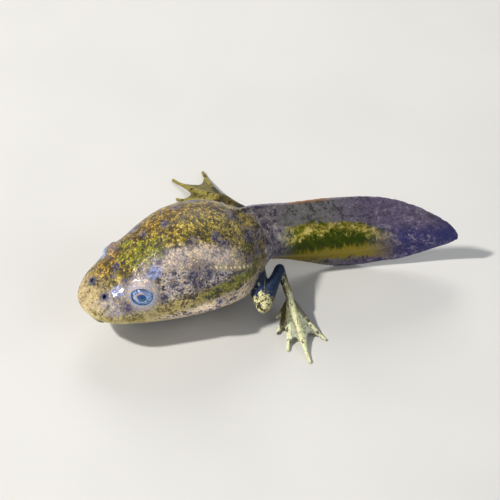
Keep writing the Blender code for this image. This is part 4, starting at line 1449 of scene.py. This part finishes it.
class TadpoleColours(bpy.types.PropertyGroup):
    """Colours of the skin, the eyes and the beaks."""

    back: shade("Back", "Olive ground of the back", (0.18, 0.135, 0.02))
    back_gold: shade("Back Gold", "Lighter flecks of the back", (0.42, 0.32, 0.03))
    back_dark: shade("Back Dark", "Darkest flecks of the back", (0.05, 0.04, 0.02))
    gold_grain: shade("Gold Grain", "Pale gold grains", (0.78, 0.57, 0.14))
    # Painted shade of the right side of the back.
    right_side_shade_tint: shade("Far Back", "Brown tint of the right side of the back", (0.85, 0.6, 0.2))
    crown: shade("Crown", "Green of the patch behind the eyes", (0.2, 0.23, 0.0))
    crown_grain: shade("Crown Grain", "Yellow grains of the green places", (0.38, 0.36, 0.01))
    # Painted sky reflection on the left flank.
    sky_reflection: shade("Sheen", "Pinkish grey of the upper flank", (0.74, 0.61, 0.53))
    pore: shade("Pore", "Pale gold of the sense pores", (1.0, 0.84, 0.5))
    # Pale grains of the painted sky reflection.
    sky_reflection_grain: shade("Sheen Grain", "Pale pink grains of the upper flank", (1.0, 0.76, 0.54))
    blotch: shade("Blotch", "Dark blue brown of the blotches", (0.05, 0.05, 0.095))
    blue_mark: shade("Blue Mark", "Blue grey of the paler marks", (0.23, 0.3, 0.56))
    rear: shade("Rear", "Dull brown of the body's rear", (0.36, 0.3, 0.15))
    flank_line: shade("Flank Line", "Yellow green line along the flank", (0.28, 0.32, 0.03))
    line_front: shade("Line Front", "Gold start of the flank line", (0.88, 0.66, 0.25))
    line_grain: shade("Line Grain", "Yellow grains of the flank line", (0.62, 0.6, 0.1))
    flank: shade("Flank", "Grey brown of the lower flank", (0.84, 0.69, 0.54))
    belly: shade("Belly", "Cream of the belly", (0.6, 0.55, 0.42))
    belly_grey: shade("Belly Grey", "Grey mottling of the belly", (0.28, 0.28, 0.27))
    snout: shade("Snout", "Tan of the snout", (0.6, 0.47, 0.27))
    snout_grain: shade("Snout Grain", "Cream grains of the snout and jaw", (0.75, 0.62, 0.35))
    jaw: shade("Jaw", "Yellow green of the jaw", (0.66, 0.56, 0.25))
    slate: shade("Slate", "Slate band over the flank line", (0.62, 0.55, 0.58))
    # Tail root, fins' rear and tip colours here are partly painted sky reflection over the fin's own dark.
    tail_root: shade("Tail Root", "Mauve of the tail's root", (0.24, 0.2, 0.23))
    fin: shade("Fin", "Grey of the front of the fins", (0.2, 0.2, 0.185))
    fin_rear: shade("Fin Rear", "Mauve of the rear of the fins", (0.15, 0.118, 0.21))
    fin_pale: shade("Fin Pale", "Paler specks of the fins", (0.28, 0.25, 0.29))
    fin_dark: shade("Fin Dark", "Dark specks of the fins", (0.07, 0.065, 0.08))
    margin: shade("Margin", "Orange brown edge of the upper fin", (0.3, 0.14, 0.05))
    tip: shade("Tip", "Navy of the tail's tip", (0.027, 0.03, 0.15))
    tip_fleck: shade("Tip Fleck", "Violet flecks of the tail's tip", (0.1, 0.08, 0.2))
    tail_band: shade("Tail Band", "Ochre band over the muscle", (0.3, 0.25, 0.03))
    tail_band_pale: shade("Tail Band Pale", "Yellow flecks of the band", (0.68, 0.56, 0.18))
    muscle: shade("Muscle", "Dark green of the tail's muscle", (0.028, 0.044, 0.0))
    muscle_streak: shade("Muscle Streak", "Lighter streaks of the muscle", (0.07, 0.1, 0.0))
    tail_low: shade("Tail Low", "Brown under the muscle", (0.34, 0.24, 0.004))
    # Painted shade with a blue cast of painted sky reflection.
    thigh: shade("Thigh", "Navy of thigh and shank", (0.016, 0.034, 0.08))
    # Painted shade of the right leg.
    right_leg_shade_tint: shade("Far Leg", "Olive tint of the right leg", (0.36, 0.3, 0.12))
    leg_ochre: shade("Leg Ochre", "Ochre mottling of the leg", (0.16, 0.12, 0.04))
    knee: shade("Knee", "Cream of the knee", (0.8, 0.76, 0.4))
    toe: shade("Toe", "Cream of the toes", (0.95, 0.93, 0.58))
    toe_green: shade("Toe Green", "Green tint of the toes", (0.62, 0.66, 0.36))
    toe_mark: shade("Toe Mark", "Dark bars of the toes", (0.05, 0.045, 0.04))
    web: shade("Web", "Grey green of the web", (0.38, 0.4, 0.27))
    web_pale: shade("Web Pale", "Paler places of the web", (0.54, 0.56, 0.44))
    # Painted sky reflection round the eyes and on the muzzle; the breathing tube's rim also uses it.
    blue_grey_and_sky_reflection: shade("Eye Surround", "Blue grey skin round the eye", (0.44, 0.42, 0.54))
    # Painted shade of the openings; the beaks' dark horn also uses this colour as its own.
    opening: shade("Opening", "Inside of the nostrils and the mouth", (0.06, 0.07, 0.15))
    # The eye's blues below are painted sky reflection; the copper is the iris's own colour.
    iris: shade("Iris", "Slate blue of the iris", (0.14, 0.26, 0.54))
    iris_sky_streak: shade("Iris Pale", "Paler threads of the iris", (0.45, 0.62, 0.92))
    iris_copper: shade("Iris Copper", "Copper threads by the pupil", (0.6, 0.34, 0.16))
    eye_ring: shade("Eye Ring", "Pale ring round the iris", (0.32, 0.38, 0.5))
    pupil: shade("Pupil", "Deep blue of the pupil", (0.02, 0.09, 0.27))
    pupil_deep: shade("Pupil Deep", "Middle of the pupil", (0.008, 0.045, 0.16))


class TadpoleStage(bpy.types.PropertyGroup):
    """The floor, the lights and the camera."""

    floor: shade("Floor", "Colour of the floor", (0.72, 0.71, 0.68))
    floor_size: size_of("Floor Size", "Width of the floor", 4.0)
    key_power: FloatProperty(name="Key", description="Power of the key light", default=4.0, unit="POWER")
    fill_power: FloatProperty(name="Fill", description="Power of the fill light", default=0.9, unit="POWER")
    rim_power: FloatProperty(name="Rim", description="Power of the back light", default=1.4, unit="POWER")
    azimuth: FloatProperty(
        name="Azimuth", description="Camera's turn from the animal's left",
        default=math.radians(-28.8), subtype="ANGLE"
    )
    elevation: FloatProperty(
        name="Elevation", description="Camera's angle over the floor",
        default=math.radians(43), subtype="ANGLE"
    )
    distance: size_of("Distance", "From the camera to the animal", 0.5)


# Operators


class TADPOLE_OT_skin(bpy.types.Operator):
    """Makes one seamless skin for the body, tail, fins and legs"""

    bl_idname = "tadpole.skin"
    bl_label = "Add Skin"

    def execute(self, context):
        sizes = tadpole()
        forms = [whole_trunk(), fin("upper_fin", True), fin("lower_fin", False)]
        for side in SIDES:
            forms += leg(side)
        obj = grow_together(forms, sizes.skin_cell, sizes.skin_softening)
        add_fields(obj)
        obj.data.materials.clear()
        obj.data.materials.append(skin_material())
        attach(obj, "root")
        flesh = ["head", "torso", "tail_muscle_front", "tail_muscle_rear", "dorsal_fin", "ventral_fin"]
        flesh += [f"{side}_{part}" for side in SIDES for part in ("thigh", "shank", "foot")]
        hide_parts(*flesh)
        return {"FINISHED"}


class TADPOLE_OT_eyes(bpy.types.Operator):
    """Makes the two wet eyes"""

    bl_idname = "tadpole.eyes"
    bl_label = "Add Eyes"

    def execute(self, context):
        material = eye_material()
        for side in SIDES:
            centre = eye_place(side)[0]
            radius = EYE_RADIUS - EYE_CLEARANCE

            def place(along, around):
                across = math.sin(along * math.pi) * radius
                height = -math.cos(along * math.pi) * radius
                bulge = CORNEA_BULGE * math.exp(-((across / (0.55 * radius)) ** 2)) * (along > 0.5)
                return Vector((across * math.cos(around), across * math.sin(around), height + bulge))

            obj = reshaped_sphere(f"{side}_eye", 48, 64, place)
            turn = facing(eye_axis(side)).to_4x4()
            obj.matrix_world = Matrix.Translation(centre) @ turn
            smooth_faces(obj)
            obj.data.materials.append(material)
            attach(obj, "root")
            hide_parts(f"eye_{side}")
        return {"FINISHED"}


class TADPOLE_OT_beaks(bpy.types.Operator):
    """Makes the horny upper and lower beak inside the lips"""

    bl_idname = "tadpole.beaks"
    bl_label = "Add Beaks"

    def execute(self, context):
        point, outward = mouth_place()
        turn = facing(outward)
        material = beak_material()
        for name, lift, bend in (("upper_beak", 1, 1), ("lower_beak", -1, -1)):
            stations = []
            for step in range(9):
                share = step / 4 - 1
                across = BEAK_HALF_WIDTH * share
                rise = lift * 0.06 * MOUTH_HEIGHT + bend * 0.1 * MOUTH_HEIGHT * (1 - share**2)
                local = Vector((across, rise, -0.05 * MM))
                radius = BEAK_RADIUS + (BEAK_TIP_RADIUS - BEAK_RADIUS) * abs(share)
                stations.append((point + turn @ local, radius))
            obj = tube(name, stations, 3)
            smooth_faces(obj)
            obj.data.materials.append(material)
            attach(obj, "root")
        return {"FINISHED"}


class TADPOLE_OT_stage(bpy.types.Operator):
    """Adds the floor, the lights and the camera"""

    bl_idname = "tadpole.stage"
    bl_label = "Add Stage"

    def execute(self, context):
        stage = context.scene.tadpole_stage
        add_floor(stage)
        add_lights(stage)
        add_camera(stage)
        return {"FINISHED"}


def add_floor(stage):
    """A wide flat floor."""
    shape = bmesh.new()
    bmesh.ops.create_grid(shape, x_segments=1, y_segments=1, size=stage.floor_size / 2)
    obj = mesh_object("floor", shape)
    obj.data.materials.append(floor_material(stage.floor))


def aim(obj, place, target):
    """Puts an object at a place and turns it to a target."""
    obj.location = place
    obj.rotation_mode = "QUATERNION"
    obj.rotation_quaternion = (target - place).to_track_quat("-Z", "Y")


def add_lights(stage):
    """Three soft lamps and an even pale sky."""
    lamps = (
        ("key", (-0.42, 0.08, 0.5), 0.05, stage.key_power, (1.0, 0.97, 0.92)),
        ("fill", (0.35, -0.5, 0.35), 0.5, stage.fill_power, (0.92, 0.96, 1.0)),
        ("rim", (0.25, 0.5, 0.4), 0.35, stage.rim_power, (1.0, 0.98, 0.95)),
    )
    for name, place, size, power, colour in lamps:
        data = bpy.data.lights.new(name, "AREA")
        data.shape = "DISK"
        data.size = size
        data.energy = power
        data.color = colour
        aim(add_object(name, data), Vector(place), LAMPS_AIM)
    bpy.context.scene.view_settings.view_transform = "Standard"
    world = bpy.data.worlds.new("studio")
    world.use_nodes = True
    sky = world.node_tree.nodes["Background"]
    sky.inputs[0].default_value = SKY_COLOUR
    sky.inputs[1].default_value = SKY_STRENGTH
    bpy.context.scene.world = world


def add_camera(stage):
    """A long lens from the animal's left front, with the picture's middle beside the body."""
    turn, lift = stage.azimuth, stage.elevation
    right = Vector((math.cos(turn), math.sin(turn), 0))
    up = Vector((-math.sin(turn) * math.sin(lift), math.cos(turn) * math.sin(lift), math.cos(lift)))
    back = right.cross(up)
    middle = ORIGIN + BODY_MIDDLE + right * BODY_LEFT_OF_CENTRE + up * BODY_UNDER_CENTRE
    data = bpy.data.cameras.new("camera")
    data.sensor_width = 36
    data.lens = data.sensor_width * stage.distance / PICTURE_WIDTH
    camera = add_object("camera", data)
    turned = Matrix((right, up, back)).transposed().to_4x4()
    camera.matrix_world = Matrix.Translation(middle + back * stage.distance) @ turned
    data.clip_start = 0.01
    bpy.context.scene.camera = camera


class TADPOLE_PT_dresser(bpy.types.Panel):
    """The tadpole's tools in the sidebar"""

    bl_label = "Tadpole"
    bl_idname = "TADPOLE_PT_dresser"
    bl_space_type = "VIEW_3D"
    bl_region_type = "UI"
    bl_category = "Tadpole"

    def draw(self, context):
        layout = self.layout
        for operator in OPERATORS:
            layout.operator(operator.bl_idname)
        scene = context.scene
        for group in (scene.tadpole_sizes, scene.tadpole_colours, scene.tadpole_stage):
            box = layout.box()
            for name in group.__annotations__:
                box.prop(group, name)


OPERATORS = (TADPOLE_OT_skin, TADPOLE_OT_eyes, TADPOLE_OT_beaks, TADPOLE_OT_stage)
GROUPS = (TadpoleSizes, TadpoleColours, TadpoleStage)
CLASSES = (*GROUPS, *OPERATORS, TADPOLE_PT_dresser)


def register():
    for item in CLASSES:
        bpy.utils.register_class(item)
    bpy.types.Scene.tadpole_sizes = PointerProperty(type=TadpoleSizes)
    bpy.types.Scene.tadpole_colours = PointerProperty(type=TadpoleColours)
    bpy.types.Scene.tadpole_stage = PointerProperty(type=TadpoleStage)


def unregister():
    del bpy.types.Scene.tadpole_sizes
    del bpy.types.Scene.tadpole_colours
    del bpy.types.Scene.tadpole_stage
    for item in reversed(CLASSES):
        bpy.utils.unregister_class(item)


def main():
    register()
    bpy.ops.tadpole.skin()
    bpy.ops.tadpole.eyes()
    bpy.ops.tadpole.beaks()
    bpy.ops.tadpole.stage()


if __name__ == "__main__":
    main()
